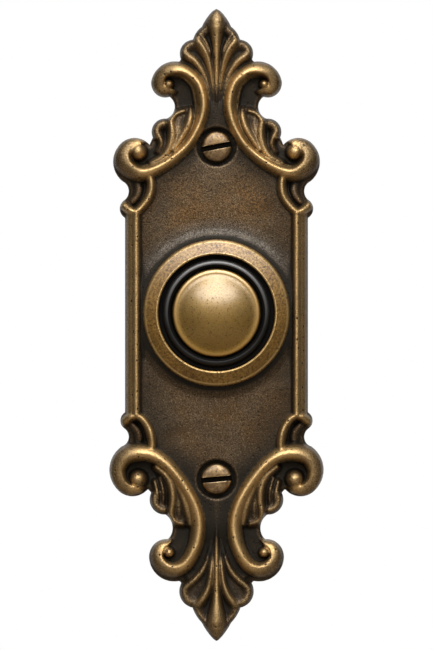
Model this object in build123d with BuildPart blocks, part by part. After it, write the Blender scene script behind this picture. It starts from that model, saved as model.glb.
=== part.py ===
"""Doorbell push button on a cast plate with scrolled ends.

Millimetres. +Z is up and the front faces -Y. The wall is the plane Y = 0, and the
button's axis is the Y axis. A height is a distance in front of the wall, so pieces
that stand inside the wall have heights below zero.
"""
import os

from build123d import *

os.makedirs("parts", exist_ok=True)

# Driving sizes of the plate
half_width = 17.5
side_up = 18.2
side_down = 19.0
top_crest = 40.0
bottom_crest = 43.8
edge_height = 3.0
field_height = 4.6
bead_height = 6.2
scroll_height = 7.0

# Driving sizes of the button and its bezel
bezel_radius = 14.0
bezel_width = 2.9
groove_width = 2.7
bezel_height = 8.2
button_height = 9.8
travel = 1.6

# Driving sizes of the fixings and the switch
screw_spacing = 63.5
screw_head_radius = 3.0
screw_length = 25.0
box_side = 11.0
box_depth = 13.2

# Clearances: fit is round a fixed piece, slide is round a moving one
fit = 0.05
slide = 0.2

# Sketch planes: radius and height for turned pieces, width and height for the plate's relief
TURNED = Plane(origin=(0, 0, 0), x_dir=(1, 0, 0), z_dir=(0, 0, -1))
FRONT = Vector(0, -1, 0)


def level(height):
    """The sketch plane that faces the front at a height above the wall."""
    return Plane.XZ.offset(height)


def profile(*points):
    """A closed outline of radius and height, to be revolved about the button's axis."""
    with BuildSketch(TURNED) as outline_face:
        with BuildLine():
            Polyline(*points, close=True)
        make_face()
    return outline_face.sketch


# The two ends are drawn from the end of the straight side, and stretched to the driving sizes.
# Edge of each end: a line has its end point, an arc has a middle and an end point.
shoulder = (17.5, 0)
top_edge = [
    ((18.5, 2.0), (17.5, 3.5)),
    ((16.8, 5.2), (18.1, 7.1)),
    ((19.8, 10.8), (18.7, 13.8)),
    ((16.0, 15.3), (12.8, 14.0)),
    ((12.2, 15.4),),
    ((11.9, 18.0), (9.5, 19.0)),
    ((8.0, 21.5), (9.0, 23.3)),
    ((11.8, 24.0), (12.5, 26.1)),
    ((11.2, 28.6), (7.1, 29.9)),
    ((6.8, 30.4),),
    ((6.6, 32.9), (4.5, 34.1)),
    ((3.8, 35.6), (2.8, 36.6)),
    ((1.7, 38.5), (0.7, 39.6)),
    ((0, 40.0),),
]
bottom_edge = [
    ((18.4, 1.7), (17.5, 3.2)),
    ((16.8, 4.8), (18.2, 6.6)),
    ((20.5, 10.8), (19.3, 14.4)),
    ((16.2, 16.1), (13.1, 14.7)),
    ((12.5, 15.4),),
    ((12.1, 18.6), (9.7, 19.6)),
    ((8.4, 22.2), (9.3, 24.4)),
    ((11.9, 25.3), (12.9, 28.0)),
    ((11.4, 31.1), (7.1, 32.3)),
    ((6.7, 32.7),),
    ((6.8, 35.7), (4.6, 37.4)),
    ((3.7, 39.2), (2.8, 40.3)),
    ((1.7, 42.1), (0.6, 43.4)),
    ((0, 43.8),),
]


spread = half_width / shoulder[0]
top_stretch = top_crest / top_edge[-1][0][1]
bottom_stretch = bottom_crest / bottom_edge[-1][0][1]


def top(u, v):
    return (u * spread, side_up + v * top_stretch)


def bottom(u, v):
    return (u * spread, -side_down - v * bottom_stretch)


def draw_edge(place, runs):
    here = shoulder
    for run in runs:
        if len(run) == 1:
            Line(place(*here), place(*run[0]))
        else:
            ThreePointArc(place(*here), place(*run[0]), place(*run[1]))
        here = run[-1]


with BuildSketch(Plane.XZ) as outline:
    with BuildLine():
        draw_edge(top, top_edge)
        draw_edge(bottom, bottom_edge)
        Line(top(*shoulder), bottom(*shoulder))
        Line(top(*top_edge[-1][0]), bottom(*bottom_edge[-1][0]))
    make_face()
    mirror(about=Plane.YZ)

# The relief starts a little below the plate's edge, so that it sinks into the slab.
# A station of a ridge is u, v, height as a share of the scroll height, outer flank, inner flank.
relief_foot = edge_height - 0.4
knee_out = 0.62
knee_up = 0.7


def standing_plane(x, z, across):
    """A sketch plane that stands on the relief's foot: its x runs across and its y to the front."""
    return Plane(origin=(x, -relief_foot, z), x_dir=across, z_dir=across.cross(FRONT))


def section(place, turn, path, station):
    """The five-cornered cross-section of a ridge at one station, square to its path."""
    u, v, share, outer, inner = station
    point = Vector(*place(u, v))
    along = path.tangent_at(point)
    across = Vector(along.Y, 0, -along.X) * turn
    rise = share * scroll_height - relief_foot
    outer_foot = spread * outer
    inner_foot = spread * inner
    with BuildSketch(standing_plane(point.X, point.Y, across)) as cut:
        with BuildLine():
            Polyline(
                (outer_foot, 0),
                (knee_out * outer_foot, knee_up * rise),
                (0, rise),
                (-knee_out * inner_foot, knee_up * rise),
                (-inner_foot, 0),
                close=True,
            )
        make_face()
    return cut.sketch


def ridge(place, turn, stations):
    """A scroll or a corner ridge: sections along a smooth path, lofted and trimmed to the outline."""
    path = Edge.make_spline([Vector(*place(station[0], station[1])) for station in stations])
    with BuildPart(mode=Mode.PRIVATE) as strip:
        loft([section(place, turn, path, station) for station in stations], ruled=True)
        extrude(outline.sketch, amount=2 * scroll_height, mode=Mode.INTERSECT)
    return strip.part


def leaf_rib(place, root, middle, tip, share, half_foot):
    """A rib of a fan or palmette: a wedge with a crest that rises from its root and falls to its tip."""
    root_point, tip_point = [Vector(x, -relief_foot, z) for x, z in (place(*root), place(*tip))]
    across = (tip_point - root_point).cross(FRONT).normalized()
    with BuildPart(mode=Mode.PRIVATE) as wedge:
        with BuildSketch(standing_plane(*place(*middle), across)) as cut:
            with BuildLine():
                Polyline(
                    (spread * half_foot, 0),
                    (0, share * scroll_height - relief_foot),
                    (-spread * half_foot, 0),
                    close=True,
                )
            make_face()
        loft([Vertex(*root_point), cut.sketch, Vertex(*tip_point)], ruled=True)
        extrude(outline.sketch, amount=2 * scroll_height, mode=Mode.INTERSECT)
    return wedge.part


eye_height = 5.6
eye_corners = 8
eye_taper = 20


def volute_eye(place, u, v, radius):
    """The raised eye in the middle of a volute, cut with a few flats."""
    with BuildPart(mode=Mode.PRIVATE) as eye:
        with BuildSketch(level(relief_foot)):
            with Locations(place(u, v)):
                RegularPolygon(spread * radius, eye_corners)
        extrude(amount=eye_height - relief_foot, taper=eye_taper)
    return eye.part


top_scroll = [
    (8.8, 24.7, 0.66, 1.7, 0.5),
    (10.2, 25.2, 0.74, 2.4, 0.6),
    (9.9, 26.8, 0.83, 2.6, 0.6),
    (8.5, 27.7, 0.91, 2.3, 1.0),
    (6.2, 27.7, 0.97, 1.8, 1.3),
    (3.7, 25.9, 1.0, 1.5, 1.8),
    (2.6, 23.2, 1.0, 1.3, 2.1),
    (2.5, 20.4, 1.0, 1.3, 2.0),
    (3.5, 17.2, 1.0, 1.3, 1.6),
    (5.5, 13.9, 1.0, 1.4, 1.4),
    (8.4, 11.3, 1.0, 1.6, 1.4),
    (11.6, 9.4, 1.0, 1.8, 1.3),
    (14.3, 8.8, 0.97, 2.2, 1.1),
    (16.3, 10.1, 0.91, 2.8, 0.8),
    (16.9, 11.8, 0.86, 3.0, 0.7),
    (16.1, 13.2, 0.8, 2.6, 0.6),
]
bottom_scroll = [
    (10.1, 26.1, 0.7, 2.0, 0.5),
    (10.5, 27.6, 0.77, 2.3, 0.6),
    (9.5, 29.0, 0.85, 2.4, 0.9),
    (7.8, 29.5, 0.93, 2.2, 1.1),
    (6.0, 28.7, 0.97, 1.9, 1.3),
    (4.5, 26.7, 1.0, 1.6, 1.6),
    (3.5, 24.2, 1.0, 1.4, 1.9),
    (3.2, 21.1, 1.0, 1.3, 2.0),
    (3.9, 18.0, 1.0, 1.3, 1.9),
    (5.4, 15.0, 1.0, 1.4, 1.6),
    (7.5, 12.0, 1.0, 1.5, 1.5),
    (9.9, 9.5, 1.0, 1.7, 1.4),
    (12.3, 8.1, 1.0, 1.9, 1.3),
    (14.8, 7.8, 0.99, 2.1, 1.2),
    (17.1, 8.7, 0.94, 2.6, 1.0),
    (18.2, 10.8, 0.89, 2.9, 0.8),
    (17.8, 12.9, 0.84, 2.8, 0.7),
    (16.8, 14.0, 0.8, 2.5, 0.6),
]
# Corner ridges from the scrolls to the side beads, and their spurs to the cusps
top_corner = [
    (12.7, 8.0, 0.9, 0.9, 0.9),
    (12.5, 4.6, 0.9, 0.9, 0.9),
    (13.6, 2.5, 0.89, 0.9, 0.9),
    (15.4, 0.7, 0.88, 0.9, 0.9),
]
bottom_corner = [
    (12.3, 7.4, 0.9, 0.9, 0.9),
    (12.4, 4.2, 0.9, 0.9, 0.9),
    (13.6, 1.8, 0.89, 0.9, 0.9),
    (15.4, 0.3, 0.88, 0.9, 0.9),
]

# Ribs of the spur, fan and palmette: root, middle, tip, height of the crest, half width
top_ribs = [
    ((14.0, 0.4), (15.9, 1.4), (18.4, 2.7), 0.84, 1.0),
    ((14.0, 9.4), (9.4, 13.4), (8.3, 20.4), 0.78, 1.1),
    ((9.6, 11.6), (6.2, 15.6), (5.0, 21.4), 0.74, 1.0),
    ((11.6, 14.2), (11.5, 17.0), (9.4, 19.4), 0.68, 0.7),
    ((0.6, 22.0), (1.6, 29.8), (4.8, 35.2), 0.76, 0.8),
    ((0.9, 23.0), (3.4, 28.7), (7.0, 33.2), 0.76, 0.9),
]
bottom_ribs = [
    ((14.0, 0.1), (15.9, 0.9), (18.4, 2.3), 0.84, 1.0),
    ((14.0, 8.6), (9.5, 13.0), (8.3, 21.2), 0.78, 1.1),
    ((9.8, 11.2), (6.8, 16.0), (5.0, 22.4), 0.74, 1.0),
    ((11.7, 14.3), (11.6, 17.4), (9.6, 20.0), 0.68, 0.7),
    ((0.6, 25.6), (1.7, 32.6), (4.9, 38.6), 0.76, 0.8),
    ((1.1, 25.8), (3.5, 30.9), (7.0, 35.0), 0.76, 0.9),
]
top_leaf = ((0, 19.6), (0, 35.0), (0, 40.4), 0.86, 1.7)
bottom_leaf = ((0, 20.4), (0, 38.4), (0, 44.2), 0.86, 1.8)

# Sizes that follow from the driving ones
bead_from_edge = 2.2
bead_at = half_width - bead_from_edge
spigot_radius = bezel_radius - 1.8
mouth_radius = bezel_radius - bezel_width
button_radius = mouth_radius - groove_width
guide_radius = button_radius + slide
collar_radius = bezel_radius + 1.1
collar_height = field_height + 0.6
counterbore_radius = screw_head_radius + 0.7
counterbore_floor = field_height - 2.0
shank_radius = screw_head_radius - 1.25
recess_width = 2 * bead_at - 1.0
recess_height = side_up + side_down - 0.6
recess_corner = 2.0
recess_depth = 1.8
gasket_thickness = 0.5
flange_thickness = 1.1
flange_gap = 0.3
flange_width = recess_width - 2 * flange_gap
flange_height = recess_height - 2 * flange_gap
flange_top = recess_depth - gasket_thickness
flange_low = flange_top - flange_thickness
recess_middle = (side_up - side_down) / 2
housing_screw_up = flange_height / 2 - 2.8
housing_screw_radius = 1.0
housing_screw_depth = 2.0
housing_screw_spots = (recess_middle + housing_screw_up, recess_middle - housing_screw_up)


def cut_corner_rectangle(width, height):
    """The outline of the back recess and of what sits in it."""
    with BuildSketch() as panel:
        Rectangle(width, height)
        chamfer(panel.vertices(), recess_corner)
    return panel.sketch


with BuildPart() as escutcheon_plate:
    extrude(outline.sketch, amount=edge_height)
    # Field: the flat panel and the channel between the scrolls, edged under the ridges
    with BuildSketch(level(relief_foot)):
        with BuildLine():
            Spline(top(2.5, 20.9), top(4.2, 15.9), top(8.4, 11.3), top(12.7, 8.6))
            Spline(top(12.7, 8.6), top(12.4, 5.0), top(13.6, 2.7), top(15.3, 0.8))
            Line(top(15.3, 0.8), bottom(15.3, 0.4))
            Spline(bottom(15.3, 0.4), bottom(13.6, 1.8), bottom(12.4, 4.2), bottom(12.3, 8.0))
            Spline(bottom(12.3, 8.0), bottom(9.9, 9.5), bottom(5.4, 15.0), bottom(3.4, 20.2))
            Polyline(bottom(3.4, 20.2), bottom(0, 21.4), top(0, 20.9), top(2.5, 20.9))
        make_face()
        mirror(about=Plane.YZ)
    extrude(amount=field_height - relief_foot)
    # Beads along the two straight sides
    with BuildSketch(Plane.XY.offset(bottom(0, 0.4)[1])):
        with BuildLine():
            Polyline(
                (half_width - 0.1, -relief_foot),
                (half_width - 1.4, -bead_height + 0.8),
                (bead_at, -bead_height),
                (bead_at - 0.9, -field_height + 0.2),
                (bead_at - 0.9, -relief_foot),
                close=True,
            )
        make_face()
        mirror(about=Plane.YZ)
    extrude(amount=top(0, 0.8)[1] - bottom(0, 0.4)[1])
    # Scrolls, volute eyes and ribs on the right, then the same on the left
    relief = [ridge(top, 1, top_scroll), ridge(bottom, -1, bottom_scroll)]
    relief += [ridge(top, 1, top_corner), ridge(bottom, -1, bottom_corner)]
    relief += [leaf_rib(top, *rib) for rib in top_ribs]
    relief += [leaf_rib(bottom, *rib) for rib in bottom_ribs]
    relief += [volute_eye(top, 14.9, 12.6, 1.6), volute_eye(bottom, 14.9, 12.7, 1.7)]
    add(relief)
    mirror(relief, about=Plane.YZ)
    add([leaf_rib(top, *top_leaf), leaf_rib(bottom, *bottom_leaf)])
    # Seat for the bezel
    with BuildSketch(level(edge_height)):
        Circle(collar_radius)
    extrude(amount=collar_height - edge_height)
    # Recess at the back, the bezel's hole and the holes for the screws
    with BuildSketch(Plane.XZ):
        with Locations((0, recess_middle)):
            add(cut_corner_rectangle(recess_width, recess_height))
    extrude(amount=recess_depth, mode=Mode.SUBTRACT)
    with BuildSketch(Plane.XZ):
        Circle(spigot_radius + fit)
        with Locations((0, screw_spacing / 2), (0, -screw_spacing / 2)):
            Circle(shank_radius + slide)
    extrude(amount=2 * scroll_height, mode=Mode.SUBTRACT)
    with BuildSketch(level(counterbore_floor)):
        with Locations((0, screw_spacing / 2), (0, -screw_spacing / 2)):
            Circle(counterbore_radius)
    extrude(amount=2 * scroll_height, mode=Mode.SUBTRACT)
    with BuildSketch(level(recess_depth)):
        with Locations((0, housing_screw_spots[0]), (0, housing_screw_spots[1])):
            Circle(housing_screw_radius + fit)
    extrude(amount=housing_screw_depth, mode=Mode.SUBTRACT)
escutcheon_plate.part.label = "escutcheon_plate"
export_step(escutcheon_plate.part, "parts/escutcheon_plate.step")

# Bezel: a turned ring pressed into the plate, with a ledge that guides the button. Its face
# falls outwards from the mouth
ledge_rise = 0.4
spigot_gap = 0.2
face_bevel = 0.6
edge_bevel = 0.65
face_fall = 0.6
ledge_top = collar_height + ledge_rise
spigot_end = recess_depth + spigot_gap
with BuildPart() as bezel_ring:
    revolve(
        profile(
            (guide_radius, spigot_end),
            (spigot_radius, spigot_end),
            (spigot_radius, collar_height),
            (bezel_radius, collar_height),
            (bezel_radius, bezel_height - face_fall - edge_bevel),
            (bezel_radius - face_bevel, bezel_height - face_fall),
            (mouth_radius, bezel_height),
            (mouth_radius, ledge_top),
            (guide_radius, ledge_top),
        ),
        axis=Axis.Y,
    )
bezel_ring.part.label = "bezel_ring"
export_step(bezel_ring.part, "parts/bezel_ring.step")

# Rubber ring: a flat washer on the ledge with a bead round the button
bead_gap = 0.8
bead_slope = 0.5
bead_rise = 1.1
seal_thickness = 0.6
bead_in = button_radius + slide
bead_out = mouth_radius - bead_gap
washer_top = ledge_top + seal_thickness
bead_top = washer_top + bead_rise
with BuildPart() as seal_ring:
    revolve(
        profile(
            (bead_in, ledge_top),
            (mouth_radius - fit, ledge_top),
            (mouth_radius - fit, washer_top),
            (bead_out, washer_top),
            (bead_out - bead_slope, bead_top),
            (bead_in + bead_slope, bead_top),
            (bead_in, washer_top),
        ),
        axis=Axis.Y,
    )
seal_ring.part.label = "seal_ring"
export_step(seal_ring.part, "parts/seal_ring.step")

# Button: a hollow cap with a rolled rim round a dome, which is turned in a few steps
dome_rise = 2.0
dome_steps = 4
rim_width = 1.2
rim_step = 0.2
roof_thickness = 0.9
skirt_gap = 0.4
skirt_end = spigot_end + travel + skirt_gap
rim_height = button_height - dome_rise
dome_radius = button_radius - rim_width
dome_edge = rim_height - rim_step
roof_height = rim_height - roof_thickness


def dome_point(step):
    """A point on the dome's section, which falls as the square of the radius."""
    share = step / dome_steps
    return (share * dome_radius, button_height - share**2 * (button_height - dome_edge))


with BuildPart() as button_cap:
    revolve(
        profile(
            *[dome_point(step) for step in range(dome_steps + 1)],
            (dome_radius + 0.3, rim_height),
            (button_radius - 0.4, rim_height),
            (button_radius, rim_height - 0.6),
            (button_radius, skirt_end),
            (dome_radius, skirt_end),
            (dome_radius, roof_height),
            (0, roof_height),
        ),
        axis=Axis.Y,
    )
button_cap.part.label = "button_cap"
export_step(button_cap.part, "parts/button_cap.step")

# Heights along the switch, from the plunger's head down to the wire terminals
head_gap = 0.55
head_side = 2**0.5 * (dome_radius - head_gap)
head_low = roof_height - 1.2
stem_side = 4.0
neck_side = 3.0
stake_side = 3.8
partition_top = -4.0
partition_low = partition_top - 1.2
clip_top = partition_low - 0.1
clip_thickness = 0.6
bridge_top = clip_top - clip_thickness
bridge_thickness = 0.5
bridge_low = bridge_top - bridge_thickness
stake_low = bridge_low - 0.4
rivet_low = bridge_low - 0.9
pad_top = rivet_low - travel - fit
blade_thickness = 0.5
base_top = pad_top - blade_thickness
base_flange = 1.2
base_low = -box_depth - base_flange
foot_low = base_low - blade_thickness
washer_thickness = 0.4
terminal_seat = foot_low - washer_thickness
box_wall = 1.2
box_inside = box_side - 2 * box_wall


def block(side, low, high):
    """A square bar on the button's axis between two heights."""
    with BuildPart(mode=Mode.PRIVATE) as bar:
        with BuildSketch(level(low)):
            Rectangle(side, side)
        extrude(amount=high - low)
    return bar.part


with BuildPart() as plunger:
    add(block(head_side, head_low, roof_height))
    add(block(stem_side, clip_top, head_low))
    add(block(neck_side, bridge_low, clip_top))
    add(block(stake_side, stake_low, bridge_low))
plunger.part.label = "plunger"
export_step(plunger.part, "parts/plunger.step")

spring_wire = 0.5
spring_radius = 3.25
spring_turns = 4
turn_corners = 12
spring_end_gap = 0.1
spring_low = partition_top + spring_wire / 2 + spring_end_gap
spring_high = head_low - spring_wire / 2 - spring_end_gap


def coil_corner(index):
    """One corner of the coil, which has straight lengths between its corners."""
    share = index / (spring_turns * turn_corners)
    swing = Vector(spring_radius, 0, 0).rotate(Axis.Y, 360 * index / turn_corners)
    return swing - Vector(0, spring_low + share * (spring_high - spring_low), 0)


with BuildPart() as return_spring:
    with BuildLine() as coil:
        Polyline(*[coil_corner(index) for index in range(spring_turns * turn_corners + 1)])
    with BuildSketch(Plane(origin=coil.line @ 0, x_dir=(0, 1, 0), z_dir=coil.line % 0)):
        Rectangle(spring_wire, spring_wire)
    sweep(transition=Transition.RIGHT)
return_spring.part.label = "return_spring"
export_step(return_spring.part, "parts/return_spring.step")

clip_side = 6.4
with BuildPart() as retaining_clip:
    with BuildSketch(level(bridge_top)):
        Rectangle(clip_side, clip_side)
        with Locations((0, -clip_side / 4)):
            Rectangle(neck_side + 2 * fit, clip_side / 2 + neck_side + 2 * fit, mode=Mode.SUBTRACT)
    extrude(amount=clip_thickness)
retaining_clip.part.label = "retaining_clip"
export_step(retaining_clip.part, "parts/retaining_clip.step")

contact_at = 3.2
rivet_radius = 0.8
bridge_width = 4.6
with BuildPart() as contact_bridge:
    with BuildSketch(level(bridge_low)):
        Rectangle(box_inside - 2 * slide, bridge_width)
        Rectangle(neck_side + 2 * fit, neck_side + 2 * fit, mode=Mode.SUBTRACT)
    extrude(amount=bridge_thickness)
contact_bridge.part.label = "contact_bridge"
export_step(contact_bridge.part, "parts/contact_bridge.step")

with BuildPart() as switch_housing:
    with BuildSketch(level(flange_low)):
        with Locations((0, recess_middle)):
            add(cut_corner_rectangle(flange_width, flange_height))
    extrude(amount=flange_thickness)
    add(block(box_side, -box_depth, flange_top))
    add(block(box_inside, partition_top, flange_top), mode=Mode.SUBTRACT)
    add(block(box_inside, -box_depth, partition_low), mode=Mode.SUBTRACT)
    add(block(stem_side + 2 * slide, partition_low, partition_top), mode=Mode.SUBTRACT)
    # Countersunk holes for the two housing screws
    with Locations(*[Location((0, 0, spot)) for spot in housing_screw_spots]):
        add(
            revolve(
                profile(
                    (0, flange_low),
                    (2 * housing_screw_radius + fit, flange_low),
                    (housing_screw_radius + fit, flange_top),
                    (0, flange_top),
                ),
                axis=Axis.Y,
                mode=Mode.PRIVATE,
            ),
            mode=Mode.SUBTRACT,
        )
switch_housing.part.label = "switch_housing"
export_step(switch_housing.part, "parts/switch_housing.step")

with BuildPart() as housing_gasket:
    with BuildSketch(level(flange_top)):
        with Locations((0, recess_middle)):
            add(cut_corner_rectangle(flange_width, flange_height))
        Rectangle(box_side, box_side, mode=Mode.SUBTRACT)
        with Locations((0, housing_screw_spots[0]), (0, housing_screw_spots[1])):
            Circle(housing_screw_radius + fit, mode=Mode.SUBTRACT)
    extrude(amount=gasket_thickness)
housing_gasket.part.label = "housing_gasket"
export_step(housing_gasket.part, "parts/housing_gasket.step")

terminal_at = 3.3
terminal_radius = 0.8
terminal_depth = 3.4
blade_inner = 0.9
blade_width = 3.6
with BuildPart() as terminal_base:
    add(block(box_inside - 2 * fit, -box_depth, base_top))
    add(block(box_side, base_low, -box_depth))
    with BuildSketch(level(base_low)):
        for side in (1, -1):
            with Locations((side * (blade_inner + blade_thickness / 2), 0)):
                Rectangle(blade_thickness + 2 * fit, blade_width + 2 * fit)
    extrude(amount=base_top - base_low, mode=Mode.SUBTRACT)
    with BuildSketch(level(base_low)):
        with Locations((terminal_at, 0), (-terminal_at, 0)):
            Circle(terminal_radius + fit)
    extrude(amount=terminal_depth, mode=Mode.SUBTRACT)
terminal_base.part.label = "terminal_base"
export_step(terminal_base.part, "parts/terminal_base.step")

# Wall screws: low slotted heads with a broad bevel in the plate's counterbores, a plain neck
# through the plate and a threaded length in the wall
head_rise = 2.1
screw_point = 4.0
neck_end = -0.3
thread_radius = shank_radius - 0.15
slot_width = 1.05
slot_depth = 0.9
for name, up, tilt in (("upper", 1, 11), ("lower", -1, 5)):
    with BuildPart() as mounting_screw:
        revolve(
            profile(
                (0, counterbore_floor - screw_length),
                (thread_radius, counterbore_floor - screw_length + screw_point),
                (thread_radius, neck_end),
                (shank_radius, neck_end),
                (shank_radius, counterbore_floor),
                (screw_head_radius, counterbore_floor),
                (screw_head_radius, counterbore_floor + 0.5 * head_rise),
                (0.75 * screw_head_radius, counterbore_floor + head_rise),
                (0, counterbore_floor + head_rise),
            ),
            axis=Axis.Y,
        )
        with BuildSketch(level(counterbore_floor + head_rise - slot_depth)):
            Rectangle(3 * screw_head_radius, slot_width, rotation=tilt)
        extrude(amount=head_rise, mode=Mode.SUBTRACT)
    placed = mounting_screw.part.moved(Location((0, 0, up * screw_spacing / 2)))
    placed.label = f"mounting_screw_{name}"
    export_step(placed, f"parts/mounting_screw_{name}.step")

# Countersunk screws that hold the housing to the plate
small_slot_width = 0.5
small_slot_depth = 0.45
for name, spot in zip(("upper", "lower"), housing_screw_spots):
    with BuildPart() as housing_screw:
        revolve(
            profile(
                (0, flange_low),
                (2 * housing_screw_radius, flange_low),
                (housing_screw_radius, flange_top),
                (housing_screw_radius, recess_depth + housing_screw_depth - slide),
                (0, recess_depth + housing_screw_depth - slide),
            ),
            axis=Axis.Y,
        )
        with BuildSketch(level(flange_low)):
            Rectangle(6 * housing_screw_radius, small_slot_width)
        extrude(amount=small_slot_depth, mode=Mode.SUBTRACT)
    placed = housing_screw.part.moved(Location((0, 0, spot)))
    placed.label = f"housing_screw_{name}"
    export_step(placed, f"parts/housing_screw_{name}.step")

# Contacts and wire terminals, one set on each side
terminal_head = 1.7
terminal_head_rise = 1.2
for name, side in (("left", -1), ("right", 1)):
    with BuildPart() as contact_rivet:
        with BuildSketch(level(rivet_low)):
            with Locations((side * contact_at, 0)):
                Circle(rivet_radius)
        extrude(amount=bridge_low - rivet_low)
    contact_rivet.part.label = f"contact_rivet_{name}"
    export_step(contact_rivet.part, f"parts/contact_rivet_{name}.step")

    with BuildPart() as contact_blade:
        with BuildSketch(TURNED):
            with BuildLine():
                Polyline(
                    (side * blade_inner, pad_top),
                    (side * (box_inside / 2 - slide), pad_top),
                    (side * (box_inside / 2 - slide), base_top),
                    (side * (blade_inner + blade_thickness), base_top),
                    (side * (blade_inner + blade_thickness), base_low),
                    (side * (box_side / 2 - slide), base_low),
                    (side * (box_side / 2 - slide), foot_low),
                    (side * blade_inner, foot_low),
                    close=True,
                )
            make_face()
        extrude(amount=blade_width / 2, both=True)
        with BuildSketch(level(foot_low)):
            with Locations((side * terminal_at, 0)):
                Circle(terminal_radius + slide)
        extrude(amount=blade_thickness, mode=Mode.SUBTRACT)
    contact_blade.part.label = f"contact_blade_{name}"
    export_step(contact_blade.part, f"parts/contact_blade_{name}.step")

    with BuildPart() as terminal_washer:
        with BuildSketch(level(terminal_seat)):
            with Locations((side * terminal_at, 0)):
                Rectangle(2 * terminal_head, 2 * terminal_head)
                Circle(terminal_radius + slide, mode=Mode.SUBTRACT)
        extrude(amount=washer_thickness)
    terminal_washer.part.label = f"terminal_washer_{name}"
    export_step(terminal_washer.part, f"parts/terminal_washer_{name}.step")

    with BuildPart() as terminal_screw:
        revolve(
            profile(
                (0, terminal_seat - terminal_head_rise),
                (terminal_head, terminal_seat - terminal_head_rise),
                (terminal_head, terminal_seat),
                (terminal_radius, terminal_seat),
                (terminal_radius, base_low + terminal_depth - slide),
                (0, base_low + terminal_depth - slide),
            ),
            axis=Axis.Y,
        )
        with BuildSketch(level(terminal_seat - terminal_head_rise)):
            Rectangle(small_slot_width, 3 * terminal_head)
        extrude(amount=small_slot_depth, mode=Mode.SUBTRACT)
    placed = terminal_screw.part.moved(Location((side * terminal_at, 0, 0)))
    placed.label = f"terminal_screw_{name}"
    export_step(placed, f"parts/terminal_screw_{name}.step")
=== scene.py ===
# %% [markdown]
# # A doorbell push button on a cast plate
# The object is a tall brass plate with scrolled ends, a round bezel, a rubber ring and a
# domed button, with a small switch behind the wall. The solids come from the CAD frame and
# are never moved. This lesson dresses them: a sculpted relief for the casting, turned shapes
# for the button, and aged brass, rubber and moulded plastic for the finishes.

import math

import bmesh
import bpy
import numpy as np
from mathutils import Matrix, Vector
from mathutils.geometry import tessellate_polygon


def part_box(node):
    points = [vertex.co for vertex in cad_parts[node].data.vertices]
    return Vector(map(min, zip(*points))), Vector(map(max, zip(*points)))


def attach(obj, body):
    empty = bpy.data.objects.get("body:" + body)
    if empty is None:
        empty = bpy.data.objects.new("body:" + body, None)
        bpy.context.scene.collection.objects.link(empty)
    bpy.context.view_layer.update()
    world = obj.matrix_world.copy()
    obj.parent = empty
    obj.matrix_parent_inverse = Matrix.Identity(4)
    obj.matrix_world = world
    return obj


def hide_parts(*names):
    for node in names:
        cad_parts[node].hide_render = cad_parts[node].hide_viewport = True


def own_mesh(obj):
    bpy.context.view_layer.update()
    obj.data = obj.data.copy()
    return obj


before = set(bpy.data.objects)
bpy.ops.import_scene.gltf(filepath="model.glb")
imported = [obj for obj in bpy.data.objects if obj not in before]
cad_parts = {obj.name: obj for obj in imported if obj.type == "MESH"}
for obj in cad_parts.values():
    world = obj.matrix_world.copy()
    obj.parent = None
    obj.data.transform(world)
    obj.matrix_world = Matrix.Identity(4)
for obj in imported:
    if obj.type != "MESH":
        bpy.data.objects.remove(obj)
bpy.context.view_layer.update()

# %% [markdown]
# ## Sizes from the frame
# Drawing is easier in millimetres, so every shape below is drawn in millimetres and scaled
# once when it becomes a mesh. A height is a distance in front of the wall, so it is minus Y.
# Places that belong to the CAD are read from its nodes, and only the drawing is new.

# %% Sizes from the frame
MM = 0.001


def box_mm(node):
    """Lowest and highest corner of a CAD node, in millimetres."""
    low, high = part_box(node)
    return np.array(low) / MM, np.array(high) / MM


plate_low, plate_high = box_mm("escutcheon_plate")
bezel_low, bezel_high = box_mm("bezel_ring")
button_low, button_high = box_mm("button_cap")
screw_low, screw_high = box_mm("mounting_screw_upper")
screw_z = (screw_low[2] + screw_high[2]) / 2
bezel_radius = bezel_high[0]
button_radius = button_high[0]
seal_radius = box_mm("seal_ring")[1][0]
head_radius = screw_high[0]
button_top = -button_low[1]
bezel_top = -bezel_low[1]
screw_top = -screw_low[1]
print("plate", plate_low.round(2), plate_high.round(2), "screws at", round(screw_z, 2))

# %% [markdown]
# ## The plate's outline
# The casting's silhouette is already in the CAD node: it is the outer edge of the flat back.
# Walking the edges that only one triangle uses gives that edge as a closed loop, so the
# dressed plate keeps exactly the CAD silhouette without drawing it twice.

# %% The plate's outline
def walked(following):
    """The closed loops in a map from each point to the next one."""
    loops = []
    while following:
        loop = [next(iter(following))]
        while loop[-1] in following:
            loop.append(following.pop(loop[-1]))
        loops.append(loop[:-1])
    return loops


def back_outline(node):
    """The outer edge of a node's flat back as points x, z in millimetres, in order."""
    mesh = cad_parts[node].data
    points = np.array([v.co for v in mesh.vertices]) / MM
    on_wall = np.abs(points[:, 1]) < 1e-3
    edges = set()
    for face in mesh.polygons:
        corners = list(face.vertices)
        if all(on_wall[c] for c in corners):
            keys = [tuple(points[c, [0, 2]].round(4)) for c in corners]
            edges.update(zip(keys, keys[1:] + keys[:1]))
    following = {a: b for a, b in edges if (b, a) not in edges}
    loops = [np.array(loop) for loop in walked(following)]
    return max(loops, key=lambda loop: np.ptp(loop[:, 1]))


outline = back_outline("escutcheon_plate")
print("outline points", len(outline))

# %% [markdown]
# ## Distances on a grid
# A relief is a height over each point of the plate, so it can be worked out on a square grid
# with arrays. Only the right half is computed and then mirrored, because the casting is
# symmetric. Two distances carry most of the work: how far a point is inside the outline, and
# how far it is from a drawn crest line and on which side.

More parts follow.
